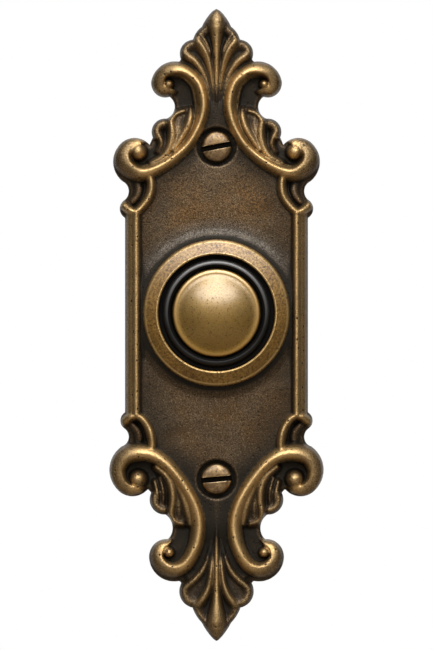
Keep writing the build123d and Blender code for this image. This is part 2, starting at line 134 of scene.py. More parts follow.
# %% Distances on a grid
GRID = 0.2
columns = math.ceil(plate_high[0] / GRID) + 2
rows_up = math.ceil(plate_high[2] / GRID) + 2
rows_down = math.ceil(-plate_low[2] / GRID) + 2
x_line = np.arange(0, columns + 1) * GRID
z_line = np.arange(-rows_down, rows_up + 1) * GRID
half_x, half_z = np.meshgrid(x_line, z_line)


def loop_distance(x, z, loop):
    """Distance to a closed loop of points, positive inside it."""
    inside = np.zeros(x.shape, bool)
    nearest = np.full(x.shape, np.inf)
    for (ax, az), (bx, bz) in zip(loop, np.roll(loop, -1, axis=0)):
        dx, dz = bx - ax, bz - az
        along = np.clip(((x - ax) * dx + (z - az) * dz) / (dx * dx + dz * dz), 0, 1)
        nearest = np.minimum(nearest, np.hypot(x - ax - along * dx, z - az - along * dz))
        if dz:
            inside ^= ((az > z) != (bz > z)) & (x < ax + (z - az) * dx / dz)
    return np.where(inside, nearest, -nearest)


def smooth_path(stations, spacing=0.08):
    """Close points on a smooth line through the stations, with all their columns carried along."""
    rows = np.array(stations, float)
    ends = np.vstack([2 * rows[0] - rows[1], rows, 2 * rows[-1] - rows[-2]])
    pieces = []
    for p0, p1, p2, p3 in zip(ends, ends[1:], ends[2:], ends[3:]):
        count = max(2, int(np.hypot(*(p2 - p1)[:2]) / spacing))
        t = np.linspace(0, 1, count, endpoint=False)[:, None]
        bend = (2 * p0 - 5 * p1 + 4 * p2 - p3) * t**2 + (3 * (p1 - p2) + p3 - p0) * t**3
        pieces.append(p1 + 0.5 * ((p2 - p0) * t + bend))
    return np.vstack(pieces + [rows[-1:]])


def from_path(path, u, v):
    """For each point: its distance from a path, whether it lies right of it, and the path's values there."""
    nearest = np.full(u.shape, np.inf)
    index = np.zeros(u.shape, int)
    for i, (pu, pv) in enumerate(path[:, :2]):
        away = (u - pu) ** 2 + (v - pv) ** 2
        closer = away < nearest
        nearest[closer] = away[closer]
        index[closer] = i
    along = np.gradient(path[:, :2], axis=0)[index]
    here = path[index]
    right = along[..., 0] * (v - here[..., 1]) - along[..., 1] * (u - here[..., 0]) < 0
    return np.sqrt(nearest), right, here


edge_inside = loop_distance(half_x, half_z, outline)
print("grid", half_x.shape, "spacing", GRID, "mm")

# %% [markdown]
# ## Ridges
# Scrolls, ribs and beads are all ridges: a crest line with a height, and a flank on each side
# with its own width. A scroll has round flanks like a bolster, and a leaf rib has hollow
# flanks that meet in valleys. Where ridges meet, a soft maximum joins them with a small
# fillet, which is what a casting has in its corners. Each ridge also notes where polish would
# rub it to gold: most on its crest, less on its flanks, and least on a broad back.

# %% Ridges
relief_foot = 2.6
rub_width = 1.3
broad_from, broad_to = 1.8, 2.6
reached_from, reached_to = 4.2, 5.1


def soft_max(a, b, fillet):
    """The higher of two surfaces, with a fillet where they cross."""
    near = np.clip(fillet - np.abs(a - b), 0, None) / fillet
    return np.maximum(a, b) + near**2 * fillet / 4


def ease(low, high, value):
    """A smooth step from 0 at low to 1 at high."""
    t = np.clip((value - low) / (high - low), 0, 1)
    return t * t * (3 - 2 * t)


def round_flank(t):
    """A bolster's side: full at the crest and steep at the foot."""
    return np.clip(1 - t**2, 0, 1) ** 0.65


def bell_flank(t):
    """A leaf rib's side: a round back that sweeps out into a hollow."""
    return np.exp(-((t / 0.68) ** 2.5))


def stepped_flank(t):
    """The inner side of a scroll: a round side with a fine second bead at its foot."""
    return soft_max(round_flank(t / 0.75), 0.40 * round_flank(np.abs(t - 0.74) / 0.26), 0.1)


class Relief:
    """The height over one end of the plate in that end's own u and v, and where its crests are."""

    def __init__(self, u, v, ground):
        self.u, self.v, self.height = u, v, ground
        self.gold = np.zeros(u.shape)

    def ridge(self, stations, flank_right, flank_left, foot=relief_foot, fillet=0.3, shine=1.0, spread=0.9):
        """Adds a ridge. A station is u, v, crest height, right width, left width."""
        path = smooth_path(stations)
        reach = path[:, 3:].max() + 0.5
        low, high = path[:, :2].min(0) - reach, path[:, :2].max(0) + reach
        near = (self.u > low[0]) & (self.u < high[0]) & (self.v > low[1]) & (self.v < high[1])
        away, right, here = from_path(path, self.u[near], self.v[near])
        width = np.where(right, here[:, 3], here[:, 4])
        t = away / width
        rise = np.where(right, flank_right(t), flank_left(t))
        top = foot + (here[:, 2] - foot) * rise - 3 * np.clip(away - width, 0, None)
        crest = np.exp(-((away / np.minimum(width, rub_width) / spread) ** 3))
        crest *= 1 - 0.55 * ease(broad_from, broad_to, here[:, 3])
        flank = 0.5 * ease(1.1, 0.7, t) * (1 - 0.45 * ease(broad_from, broad_to, width))
        reached = ease(reached_from, reached_to, here[:, 2]) * (top > self.height[near] - 0.1)
        line = shine * np.maximum(crest, flank) * reached
        self.height[near] = soft_max(self.height[near], top, fillet)
        self.gold[near] = np.maximum(self.gold[near], line)

    def ball(self, u, v, radius, low, high):
        """Adds the round eye of a volute."""
        away = np.hypot(self.u - u, self.v - v) / radius
        top = low + (high - low) * np.sqrt(np.clip(1 - away**2, 0, 1)) - 4 * np.clip(away - 1, 0, None)
        self.height = soft_max(self.height, top, 0.12)
        self.gold = np.maximum(self.gold, 0.8 * np.exp(-((away / 0.7) ** 2)))


halfway = [flank(np.array(0.5)).round(2) for flank in (round_flank, bell_flank, stepped_flank)]
print("round, bell and stepped flanks halfway down", *halfway)

# %% [markdown]
# ## The drawing of the two ends
# Each end is drawn from the end of the straight side: u runs out from the centre line and v
# runs towards the crest. The scrolls are C shapes that curl round an eye at both ends, so
# their right flank is the broad back of the scroll and their left flank faces the leaf inside.
# A row is a station: u, v, the crest's height and the widths of its right and left flanks. The
# rows of a spear are v, crest height and half width. The smooth path fills in the rest.

# %% The drawing of the top end
side_up = 18.2
side_down = 19.0
top_scroll = [
    (8.8, 24.7, 4.6, 1.7, 0.5),
    (10.2, 25.2, 5.2, 2.4, 0.6),
    (9.9, 26.8, 5.8, 2.6, 0.6),
    (8.5, 27.7, 6.4, 2.3, 1.0),
    (6.2, 27.7, 6.8, 1.8, 1.3),
    (3.7, 25.9, 7.0, 1.5, 1.8),
    (2.6, 23.2, 7.0, 1.3, 2.1),
    (2.5, 20.4, 7.0, 1.3, 2.0),
    (3.5, 17.2, 7.0, 1.3, 1.6),
    (5.5, 13.9, 7.0, 1.4, 1.4),
    (8.4, 11.3, 7.0, 1.6, 1.4),
    (11.6, 9.4, 7.0, 1.8, 1.5),
    (14.3, 8.8, 6.8, 2.2, 1.5),
    (16.3, 10.1, 6.4, 2.8, 1.1),
    (16.9, 11.8, 6.0, 3.0, 0.9),
    (16.1, 13.2, 5.6, 2.6, 0.6),
    (15.0, 13.7, 5.2, 1.8, 0.5),
]
top_corner = [
    (12.7, 8.2, 6.1, 1.0, 1.1),
    (12.4, 6.6, 6.2, 1.0, 1.1),
    (12.45, 5.0, 6.3, 1.0, 1.2),
    (12.9, 3.7, 6.3, 1.0, 1.2),
    (13.6, 2.7, 6.2, 1.0, 1.1),
    (14.5, 1.7, 6.2, 1.0, 1.0),
    (15.4, 1.0, 6.2, 0.9, 0.9),
]
top_hook = [(15.0, 0.9, 6.0, 0.9, 0.9), (16.5, 1.4, 5.9, 1.0, 1.0), (17.6, 2.3, 4.8, 1.0, 1.0)]
top_notch = [
    (15.3, 7.2, 3.7, 1.1, 1.2),
    (14.8, 5.8, 4.0, 1.2, 1.3),
    (15.0, 4.3, 4.2, 1.2, 1.3),
    (16.0, 3.0, 4.2, 1.0, 1.0),
]
top_leaf_ribs = [
    [
        (6.2, 20.3, 4.6, 0.6, 0.9),
        (7.2, 20.0, 4.8, 0.8, 0.9),
        (8.2, 19.4, 5.0, 1.0, 0.9),
        (8.7, 18.3, 5.2, 1.4, 0.9),
        (8.5, 16.4, 5.4, 1.7, 1.1),
        (8.6, 14.6, 5.5, 1.8, 1.3),
        (9.3, 12.7, 5.5, 1.6, 1.4),
        (10.4, 11.4, 5.4, 1.3, 1.2),
        (12.5, 10.3, 4.8, 1.0, 0.9),
    ],
    [
        (4.9, 20.6, 4.5, 0.7, 0.9),
        (4.95, 19.0, 5.3, 0.9, 1.5),
        (5.5, 17.1, 5.6, 1.0, 1.7),
        (6.8, 14.9, 5.6, 1.0, 1.6),
        (8.2, 12.9, 5.5, 0.9, 1.1),
    ],
]
top_leaf_veins = [
    [
        (7.3, 19.0, 4.3, 1.1, 1.1),
        (7.3, 17.0, 4.8, 1.2, 1.1),
        (7.8, 15.0, 4.8, 1.0, 1.0),
        (8.7, 13.2, 4.6, 0.8, 0.8),
    ],
    [
        (11.5, 16.6, 4.4, 0.7, 0.7),
        (10.8, 15.3, 4.8, 0.8, 0.8),
        (10.5, 14.0, 4.8, 0.8, 0.8),
        (11.0, 12.6, 4.4, 0.8, 0.8),
    ],
]
top_palm_ribs = [
    [
        (4.0, 34.3, 4.6, 1.0, 1.7),
        (3.4, 33.7, 5.3, 1.0, 1.9),
        (2.3, 32.2, 5.5, 0.9, 1.9),
        (1.5, 30.3, 5.4, 0.8, 1.6),
        (1.0, 27.7, 5.2, 0.7, 1.1),
        (0.75, 25.3, 4.9, 0.5, 0.7),
        (0.55, 22.6, 4.5, 0.4, 0.4),
    ],
    [
        (6.1, 31.6, 4.6, 1.3, 1.2),
        (5.4, 30.8, 4.9, 1.4, 1.2),
        (4.0, 29.7, 5.0, 1.4, 1.2),
        (2.6, 27.7, 4.9, 1.2, 1.1),
        (1.7, 25.5, 4.8, 0.8, 0.8),
        (1.15, 23.4, 4.6, 0.5, 0.6),
        (0.8, 20.8, 4.4, 0.4, 0.4),
    ],
    [
        (3.5, 35.4, 4.3, 0.7, 0.7),
        (2.3, 33.9, 4.7, 0.7, 0.6),
        (1.45, 32.2, 4.7, 0.6, 0.5),
        (1.0, 30.0, 4.3, 0.4, 0.4),
    ],
]
top_spear = [
    (20.2, 4.55, 0.30),
    (23.1, 4.9, 0.55),
    (26.9, 5.3, 0.70),
    (30.5, 5.6, 0.80),
    (33.0, 5.8, 1.00),
    (34.6, 6.0, 1.35),
    (36.2, 6.3, 1.90),
    (37.6, 6.2, 2.10),
    (38.6, 5.8, 1.90),
    (39.6, 5.0, 1.30),
    (40.3, 4.0, 0.55),
]
print("top scroll stations", len(top_scroll), "palmette ribs", len(top_palm_ribs))

# %% The drawing of the bottom end
bottom_scroll = [
    (9.3, 25.3, 4.7, 1.5, 0.5),
    (10.2, 26.1, 5.0, 2.0, 0.5),
    (10.5, 27.6, 5.4, 2.3, 0.6),
    (9.5, 29.0, 6.0, 2.4, 0.9),
    (7.8, 29.5, 6.5, 2.2, 1.1),
    (6.0, 28.7, 6.8, 1.9, 1.3),
    (4.5, 26.7, 7.0, 1.6, 1.6),
    (3.5, 24.2, 7.0, 1.4, 1.9),
    (3.2, 21.1, 7.0, 1.3, 2.0),
    (3.9, 18.0, 7.0, 1.3, 1.9),
    (5.4, 15.0, 7.0, 1.4, 1.6),
    (7.5, 12.0, 7.0, 1.5, 1.5),
    (9.9, 9.5, 7.0, 1.7, 1.4),
    (12.3, 8.1, 7.0, 1.9, 1.7),
    (14.8, 7.8, 6.9, 2.1, 1.8),
    (17.1, 8.7, 6.6, 2.6, 1.5),
    (18.2, 10.8, 6.2, 2.9, 1.1),
    (17.8, 12.9, 5.9, 2.8, 0.9),
    (16.5, 14.0, 5.5, 2.3, 0.6),
    (15.2, 14.1, 5.1, 1.6, 0.5),
]
bottom_corner = [
    (12.3, 7.4, 6.1, 1.0, 1.1),
    (12.25, 5.6, 6.2, 1.0, 1.1),
    (12.5, 3.9, 6.3, 1.0, 1.2),
    (13.1, 2.5, 6.2, 1.0, 1.1),
    (14.1, 1.2, 6.2, 1.0, 1.0),
    (15.3, 0.5, 6.2, 0.9, 0.9),
]
bottom_hook = [(15.0, 0.5, 6.0, 0.9, 0.9), (16.4, 0.9, 5.9, 1.0, 1.0), (17.5, 1.8, 4.8, 1.0, 1.0)]
bottom_notch = [
    (15.3, 6.6, 3.7, 1.1, 1.2),
    (14.8, 5.2, 4.0, 1.2, 1.3),
    (15.0, 3.7, 4.2, 1.2, 1.3),
    (16.0, 2.4, 4.2, 1.0, 1.0),
]
bottom_leaf_ribs = [
    [
        (6.4, 21.2, 4.6, 0.6, 0.9),
        (7.4, 21.0, 4.8, 0.8, 0.9),
        (8.4, 20.3, 5.0, 1.0, 0.9),
        (8.7, 18.9, 5.2, 1.4, 0.9),
        (8.4, 17.0, 5.4, 1.6, 1.1),
        (8.4, 15.2, 5.5, 1.6, 1.3),
        (8.8, 13.4, 5.5, 1.5, 1.4),
        (9.8, 11.8, 5.4, 1.2, 1.2),
        (11.5, 10.4, 5.0, 1.0, 0.9),
    ],
    [
        (5.0, 21.2, 4.9, 0.7, 0.9),
        (5.3, 19.2, 5.4, 0.9, 1.5),
        (6.0, 16.9, 5.6, 1.0, 1.6),
        (7.0, 14.6, 5.6, 1.0, 1.4),
        (8.4, 12.3, 5.5, 0.9, 1.0),
    ],
]
bottom_leaf_veins = [
    [
        (7.2, 20.0, 4.3, 0.8, 0.8),
        (7.2, 18.4, 4.7, 0.9, 0.9),
        (7.4, 16.0, 4.7, 0.9, 0.9),
        (8.2, 14.0, 4.6, 0.8, 0.8),
    ],
    [(11.2, 17.3, 4.3, 0.7, 0.7), (11.3, 15.4, 4.7, 0.7, 0.7), (11.8, 13.2, 4.4, 0.6, 0.6)],
    [(10.2, 17.4, 4.3, 0.6, 0.6), (10.2, 15.0, 4.7, 0.7, 0.7), (10.8, 12.6, 4.4, 0.6, 0.6)],
]
bottom_palm_ribs = [
    [
        (4.0, 37.1, 4.6, 1.4, 1.2),
        (3.1, 36.1, 5.3, 1.5, 1.2),
        (2.1, 34.6, 5.5, 1.5, 1.1),
        (1.4, 32.5, 5.4, 1.3, 0.8),
        (1.0, 29.5, 5.1, 1.0, 0.7),
        (0.8, 27.1, 4.6, 0.7, 0.6),
        (0.6, 24.0, 4.2, 0.4, 0.4),
    ],
    [
        (5.6, 33.2, 4.6, 1.0, 1.2),
        (4.4, 32.2, 4.8, 1.1, 1.2),
        (2.95, 30.6, 4.8, 1.0, 1.1),
        (2.0, 28.7, 4.6, 0.9, 0.9),
        (1.5, 27.0, 4.4, 0.6, 0.7),
        (1.0, 24.6, 4.1, 0.4, 0.4),
    ],
]
bottom_spear = [
    (20.6, 4.5, 0.35),
    (23.0, 4.9, 0.55),
    (27.0, 5.3, 0.68),
    (31.5, 5.6, 0.76),
    (34.2, 5.8, 0.92),
    (36.4, 6.0, 1.30),
    (38.6, 6.2, 1.90),
    (40.0, 6.2, 2.25),
    (41.4, 5.8, 2.05),
    (42.7, 5.0, 1.30),
    (43.9, 3.9, 0.50),
]
print("bottom scroll stations", len(bottom_scroll), "palmette ribs", len(bottom_palm_ribs))

# %% [markdown]
# ## The field and the side beads
# The field is the flat panel behind the button. Its edge follows the crest lines of the
# ridges round it, so the step down to the lower ground outside hides under them. The bead on
# each straight side is a round moulding with a fine step on its outer shoulder.

# %% The field and the side beads
field_height = 4.6
edge_height = 3.0
bead_height = 6.2
bead_foot = 4.2
bead_at = 15.3
bead_width = 2.2
shoulder_height = 5.5


def on_top(points):
    """Points u, v of the top end as x, z on the plate."""
    return [(u, side_up + v) for u, v, *_ in points]


def on_bottom(points):
    """Points u, v of the bottom end as x, z on the plate."""
    return [(u, -side_down - v) for u, v, *_ in points]


inner_top = smooth_path([s[:2] for s in top_scroll[7:12]], 0.4)
inner_bottom = smooth_path([s[:2] for s in bottom_scroll[8:14]], 0.4)
right_edge = on_top([(0.2, 30.0), (1.9, 25.0)]) + on_top(inner_top) + on_top(top_corner[1:])
right_edge += on_bottom(bottom_corner[:0:-1]) + on_bottom(inner_bottom[::-1])
right_edge += on_bottom([(2.3, 25.5), (0.2, 31.5)])
field_edge = np.array(right_edge + [(-px, pz) for px, pz in right_edge[::-1]])
field_inside = loop_distance(half_x, half_z, field_edge)
channel_end = ease(28.5, 20.5, half_z - side_up) * ease(29.5, 21.0, -half_z - side_down)
ground = edge_height + (field_height - edge_height) * ease(-0.9, 0.6, field_inside) * channel_end

crest_off = half_x - bead_at
outer = crest_off > 0
crest_share = round_flank(np.abs(crest_off) / np.where(outer, 0.9, 1.0))
crest_top = bead_foot + (bead_height - bead_foot) * crest_share
crest_top = np.where(np.abs(crest_off) < 1, crest_top, 0)
shoulder_share = round_flank(np.clip(crest_off / bead_width, 0, None))
shoulder_top = relief_foot + (shoulder_height - relief_foot) * shoulder_share
shoulder_top = np.where(outer, shoulder_top, 0)
beside = (half_z < side_up + 0.9) & (half_z > -side_down - 0.5)
bead = np.where(beside, soft_max(crest_top, shoulder_top, 0.2), 0)
bead_gold = 0.68 * np.exp(-((crest_off / np.where(outer, 0.9, 0.7)) ** 2))
bead_gold = np.maximum(bead_gold, np.where(outer, 0.55 * ease(2.4, 1.4, crest_off), 0))
bead_gold = np.where(beside, bead_gold, 0)
print("field edge points", len(field_edge))

# %% [markdown]
# ## Sculpting the heights
# The two ends are sculpted one after the other on the same grid. The spear in the middle of a
# palmette swells into a bud, and the lobes beside it have rolled rims that follow the outline.
# The ground between the ribs is raised first, then the ribs go on from the finest to the
# scroll that lies over them all. At the outline everything rounds over to a plain wall.

# %% Spears, rims and floors
wall_height = 2.2
edge_round = 0.7


def spear(end, table):
    """Adds the centre rib of a palmette from rows of v, crest height and half width."""
    v_at, crest_at, width_at = np.array(table).T
    crest_here = np.interp(end.v, v_at, crest_at)
    width_here = np.interp(end.v, v_at, width_at)
    t = np.abs(end.u) / width_here
    top = relief_foot + (crest_here - relief_foot) * np.clip(1 - t**2.4, 0, 1) ** 0.55
    top -= 4 * np.clip(v_at[0] - end.v, 0, None) + 2 * np.clip(t - 1, 0, 4)
    end.height = soft_max(end.height, top, 0.3)
    shown = ease(v_at[0], v_at[0] + 8.0, end.v) * ease(v_at[-1] - 0.6, v_at[-1] - 3.6, end.v)
    rubbed = 0.4 * np.exp(-((t / 0.9) ** 3)) + 0.25 * np.exp(-((end.u / 0.3) ** 2))
    end.gold = np.maximum(end.gold, rubbed * shown)


def rolled_rim(end, where, height, reach):
    """Adds a rim that rolls along the outline and sweeps into a hollow, where a mask asks for it."""
    crest_at = 0.95 - 0.4 * ease(36, 39, end.v)
    outer = np.clip(crest_at - edge_inside, 0, None) / crest_at
    inner = np.clip(edge_inside - crest_at, 0, None) / reach
    top = edge_height + (height - edge_height) * np.clip(1 - outer**2, 0, 1) * bell_flank(inner)
    end.height = soft_max(end.height, top - 4 * (1 - where), 0.3)
    end.gold = np.maximum(end.gold, 0.18 * where * np.exp(-(((edge_inside - crest_at) / 0.8) ** 2)))


def palm_floor(end, start, scroll):
    """Raises the ground between the ribs of a palmette, which lies behind the backs of its scrolls."""
    behind = from_path(smooth_path(scroll[3:10], 0.3), end.u, end.v)[1]
    floor = edge_height + 0.8 * ease(0.5, 2.0, edge_inside) * ease(start, start + 3.0, end.v)
    end.height = soft_max(end.height, np.where(behind, floor, 0), 0.3)


def leaf_floor(end, rib, scroll):
    """Raises the ground between a leaf's outer rib and its scroll."""
    inner = [s[:2] for s in scroll if rib[-1][1] < s[1] < rib[0][1] and s[0] < rib[-1][0]]
    loop = np.array([s[:2] for s in rib] + inner[::-1])
    floor = edge_height + 1.1 * ease(-0.3, 0.5, loop_distance(end.u, end.v, loop))
    end.height = soft_max(end.height, floor, 0.3)


# %% Sculpting the heights
top_end = dict(
    scroll=top_scroll, scroll_inside=stepped_flank, corner=top_corner, hook=top_hook,
    notch=top_notch, leaf_ribs=top_leaf_ribs, veins=top_leaf_veins, palm_ribs=top_palm_ribs,
    spear=top_spear,
    eyes=[(14.94, 12.58, 1.5, 4.2, 6.3), (9.1, 25.5, 0.85, 4.2, 5.6)], rim_from=30.4, lobe_to=19.0,
)
bottom_end = dict(
    scroll=bottom_scroll, scroll_inside=round_flank, corner=bottom_corner, hook=bottom_hook,
    notch=bottom_notch, leaf_ribs=bottom_leaf_ribs, veins=bottom_leaf_veins, palm_ribs=bottom_palm_ribs,
    spear=bottom_spear,
    eyes=[(14.94, 12.67, 1.6, 4.2, 6.3), (9.1, 26.7, 0.95, 4.2, 5.6)], rim_from=32.8, lobe_to=19.8,
)
rib_styles = dict(
    veins=dict(foot=3.4, fillet=0.5, shine=0.4, spread=0.6),
    leaf_ribs=dict(foot=3.4, fillet=0.4, shine=0.5, spread=0.6),
    palm_ribs=dict(foot=3.3, fillet=0.4, shine=0.45, spread=0.85),
)


def sculpt(height, v, drawn):
    """One end of the plate, from its drawing; gives its height and where the crests are."""
    end = Relief(half_x, v, height)
    leaf_floor(end, drawn["leaf_ribs"][0], drawn["scroll"])
    palm_floor(end, drawn["spear"][0][0] + 2.0, drawn["scroll"])
    rim_from, lobe_to = drawn["rim_from"], drawn["lobe_to"]
    rolled_rim(end, ease(rim_from - 0.6, rim_from + 0.6, v), 4.5, 2.1)
    lobe = ease(9.0, 9.8, half_x) * ease(13.6, 12.6, half_x)
    lobe *= ease(14.2, 15.2, v) * ease(lobe_to + 0.6, lobe_to, v)
    rolled_rim(end, lobe, 4.6, 1.7)
    for kind, style in rib_styles.items():
        for rib in drawn[kind]:
            end.ridge(rib, bell_flank, bell_flank, **style)
    spear(end, drawn["spear"])
    end.ridge(drawn["notch"], bell_flank, bell_flank, foot=3.1, shine=0.2)
    end.ridge(drawn["corner"], round_flank, round_flank, foot=3.0, fillet=0.5, shine=0.7)
    end.ridge(drawn["hook"], round_flank, round_flank, foot=3.0, shine=0.7)
    end.ridge(drawn["scroll"], round_flank, drawn["scroll_inside"], fillet=0.35, spread=1.15)
    for eye in drawn["eyes"]:
        end.ball(*eye)
    return end.height, end.gold


relief = soft_max(ground, bead, 0.25)
relief, top_gold = sculpt(relief, half_z - side_up, top_end)
relief, bottom_gold = sculpt(relief, -half_z - side_down, bottom_end)
gold = np.maximum(bead_gold, np.maximum(top_gold, bottom_gold))
print("relief from", relief.min().round(2), "to", relief.max().round(2), "mm")

# %% [markdown]
# ## Seat, holes and cast surface
# The bezel sits on a low soft pad, and the two wall screws sit in counterbores. The holes get a
# small rounded lip. Sand casting never gives a perfect flat, so a seeded noise, blurred to a
# few millimetres, lets the surface wander by a few hundredths.

# %% Seat, holes and cast surface
collar_height = 5.2
collar_radius = 15.1
collar_slope_in, collar_slope_out = 1.0, 1.3
bore_radius = 12.25
counterbore_radius = 3.7
counterbore_floor = 2.6
shank_hole = 1.95
lip = 0.3
holes = [(0, bore_radius), (screw_z, counterbore_radius), (-screw_z, counterbore_radius)]


def mirrored(half):
    """A half grid with its mirror image on the left."""
    return np.hstack([half[:, :0:-1], half])


def blur(field, size, mask):
    """A Gaussian blur of a masked field, with its size in millimetres."""
    reach = int(3 * size / GRID) + 1
    weights = np.exp(-0.5 * (np.arange(-reach, reach + 1) * GRID / size) ** 2)
    sums = []
    for layer in (field * mask, mask.astype(float)):
        for axis in (0, 1):
            padded = np.pad(layer, [(reach, reach) if axis == a else (0, 0) for a in (0, 1)])
            length = layer.shape[axis]
            layer = sum(w * padded.take(range(i, i + length), axis) for i, w in enumerate(weights))
        sums.append(layer)
    return sums[0] / np.maximum(sums[1], 1e-9)


from_axis = np.hypot(half_x, half_z)
collar_foot = collar_radius + collar_slope_out
collar_share = 1 - ease(collar_radius - collar_slope_in, collar_foot, from_axis)
collar = field_height + (collar_height - field_height) * collar_share
relief = np.where(from_axis < collar_foot, np.maximum(relief, collar), relief)
edge_share = np.sqrt(1 - (1 - np.clip(edge_inside / edge_round, 0, 1)) ** 2)
relief = wall_height + (relief - wall_height) * edge_share
domain = edge_inside.copy()
for centre, radius in holes:
    beyond = np.hypot(half_x, half_z - centre) - radius
    relief -= lip * (1 - np.clip(beyond / lip, 0, 1)) ** 2
    domain = np.minimum(domain, beyond)

x, z = np.meshgrid(np.concatenate([-x_line[:0:-1], x_line]), z_line)
relief, domain, edge_full, gold = [mirrored(half) for half in (relief, domain, edge_inside, gold)]
solid = edge_full > -GRID
wander_size = 1.1
wander_depth = 0.03
wander = blur(np.random.default_rng(11).normal(size=relief.shape), wander_size, np.ones(relief.shape, bool))
relief += wander_depth * wander / wander.std()
print("holes at", [(round(float(centre), 2), radius) for centre, radius in holes])

# %% [markdown]
# ## Where the patina stays and where it rubs off
# Aged brass is dark where polish never reaches and bright where hands do. Comparing each
# height with its blurred neighbourhood tells hollows from crests. Grime also gathers on the low
# ground between the leaves. The field darkens along the feet of the ridges, partly as patina and
# partly as painted shade that grows towards the bottom, and the counterbores are painted dark as
# patina and shade, with a painted highlight on their lips. The result is two masks, crest and
# recess, kept on the mesh as attributes for the finish.

# %% Patina masks
raised = np.where(np.hypot(x, z) < bezel_radius, bezel_top, relief)
standing = np.zeros(relief.shape)
for size, depth in ((0.7, 0.5), (2.0, 2.4), (4.5, 6.0)):
    standing += (raised - blur(raised, size, solid)) / depth
crest_mask = np.clip(np.maximum(gold, 0.35 * np.clip(standing, 0, 1)), 0, 1)
recess_mask = ease(0.1, 1.5, -standing) * (0.35 + 0.65 * ease(0.2, 1.4, edge_full))
# Partly patina and partly painted shade: the field darkens towards the feet of the ridges.
from_ridges = mirrored(np.where(field_inside > 0, field_inside, 9.0))
narrow = ease(22, 34, np.abs(z))
# Painted shade: that darkening is made stronger towards the bottom of the plate.
sides = 0.58 + 0.16 * ease(0, -25, z)
field_patina_and_shade = sides * ease(9.5, 0.0, from_ridges) + 0.35 * narrow * ease(5.2, 2.4, from_ridges)
palm = ease(23, 28, z - side_up) + ease(24, 29, -z - side_down)
low_from = 4.0 + 0.6 * palm
low_dirt = (0.9 - 0.3 * palm) * ease(low_from, low_from - 0.7, relief) * ease(0.3, 1.0, edge_full)
dirt_and_shade = np.maximum(field_patina_and_shade * ease(0.5, 0.1, gold), low_dirt)
recess_mask = np.maximum(recess_mask * (1 - 0.85 * gold), dirt_and_shade)
# Patina and painted shade: the counterbores are made fully dark, and a painted highlight brightens their
# lips.
for centre, radius in holes[1:]:
    outside = np.hypot(x, z - centre) - radius
    lip_highlight = np.exp(-(((outside - lip) / 0.2) ** 2))
    crest_mask = np.maximum(crest_mask, 0.2 * lip_highlight)
    recess_mask = np.where(outside < 0.1, 1.0, recess_mask * (1 - 0.5 * lip_highlight))
print("crest share", crest_mask[solid].mean().round(3), "recess share", recess_mask[solid].mean().round(3))

# %% [markdown]
# ## The casting as one closed mesh
# A grid has stepped edges, so points close to the outline or a hole move onto it, and the cells
# that still cross it are cut there. The open loops that are left get walls, the counterbores
# get floors, and the flat back with its shallow recess closes the mesh.

# %% Cutting the sheet
def sample(field, px, pz):
    """Field values between grid points."""
    column = np.clip((px - x[0, 0]) / GRID, 0, x.shape[1] - 1.001)
    row = np.clip((pz - z[0, 0]) / GRID, 0, x.shape[0] - 1.001)
    c, r = column.astype(int), row.astype(int)
    a, b = column - c, row - r
    low = field[r, c] * (1 - a) + field[r, c + 1] * a
    high = field[r + 1, c] * (1 - a) + field[r + 1, c + 1] * a
    return low * (1 - b) + high * b


def cut_sheet(inside):
    """Points x, z and faces of the part of the grid where inside is positive."""
    slope_z, slope_x = np.gradient(inside, GRID)
    steep = np.maximum(slope_x**2 + slope_z**2, 0.2)
    close = np.abs(inside) < 0.35 * GRID
    px = np.where(close, x - inside * slope_x / steep, x)
    pz = np.where(close, z - inside * slope_z / steep, z)
    level = np.where(close, 0, inside).ravel()
    points = np.stack([px.ravel(), pz.ravel()], 1)
    wide = x.shape[1]
    first = (np.arange(x.shape[0] - 1)[:, None] * wide + np.arange(wide - 1)).ravel()
    cells = np.stack([first, first + 1, first + wide + 1, first + wide], 1)
    levels = level[cells]
    whole = (levels >= 0).all(1) & (levels > 0).any(1)
    faces = cells[whole].tolist()
    crossings, extra = {}, []
    for cell in cells[(levels < 0).any(1) & (levels > 0).any(1)].tolist():
        face = []
        for a, b in zip(cell, cell[1:] + cell[:1]):
            if level[a] >= 0:
                face.append(a)
            if level[a] * level[b] < 0:
                key = (min(a, b), max(a, b))
                if key not in crossings:
                    share = level[a] / (level[a] - level[b])
                    crossings[key] = len(points) + len(extra)
                    extra.append(points[a] + share * (points[b] - points[a]))
                face.append(crossings[key])
        if len(face) > 2:
            faces.append(face)
    points = np.vstack([points, extra])
    used = np.unique(np.concatenate([np.array(f) for f in faces]))
    renumber = np.full(len(points), -1)
    renumber[used] = np.arange(len(used))
    return points[used], [[int(renumber[i]) for i in face] for face in faces]


def open_loops(faces):
    """The loops of edges that only one face uses, each against the faces' own direction."""
    edges = {(a, b) for face in faces for a, b in zip(face, face[1:] + face[:1])}
    return walked({b: a for a, b in edges if (b, a) not in edges})


sheet_points, sheet_faces = cut_sheet(domain)
sheet_loops = open_loops(sheet_faces)
print("sheet points", len(sheet_points), "loops", [len(loop) for loop in sheet_loops])

# %% Walls, floors and back
recess_depth = 1.8
recess_corner = 2.0
flange_gap = 0.3
housing_low, housing_high = box_mm("switch_housing")
recess_low = housing_low[[0, 2]] - flange_gap
recess_high = housing_high[[0, 2]] + flange_gap
plate_points = [(px, -h, pz) for (px, pz), h in zip(sheet_points, sample(relief, *sheet_points.T))]
plate_faces = [face[::-1] for face in sheet_faces]
sharp_loops = []


def add_ring(points):
    """New points of the plate, as a list of their numbers."""
    start = len(plate_points)
    plate_points.extend(points)
    return list(range(start, len(plate_points)))


def wall(ring, other):
    """Quads between two rings with as many points."""
    for a, b, c, d in zip(ring, ring[1:] + ring[:1], other[1:] + other[:1], other):
        plate_faces.append([a, b, c, d])


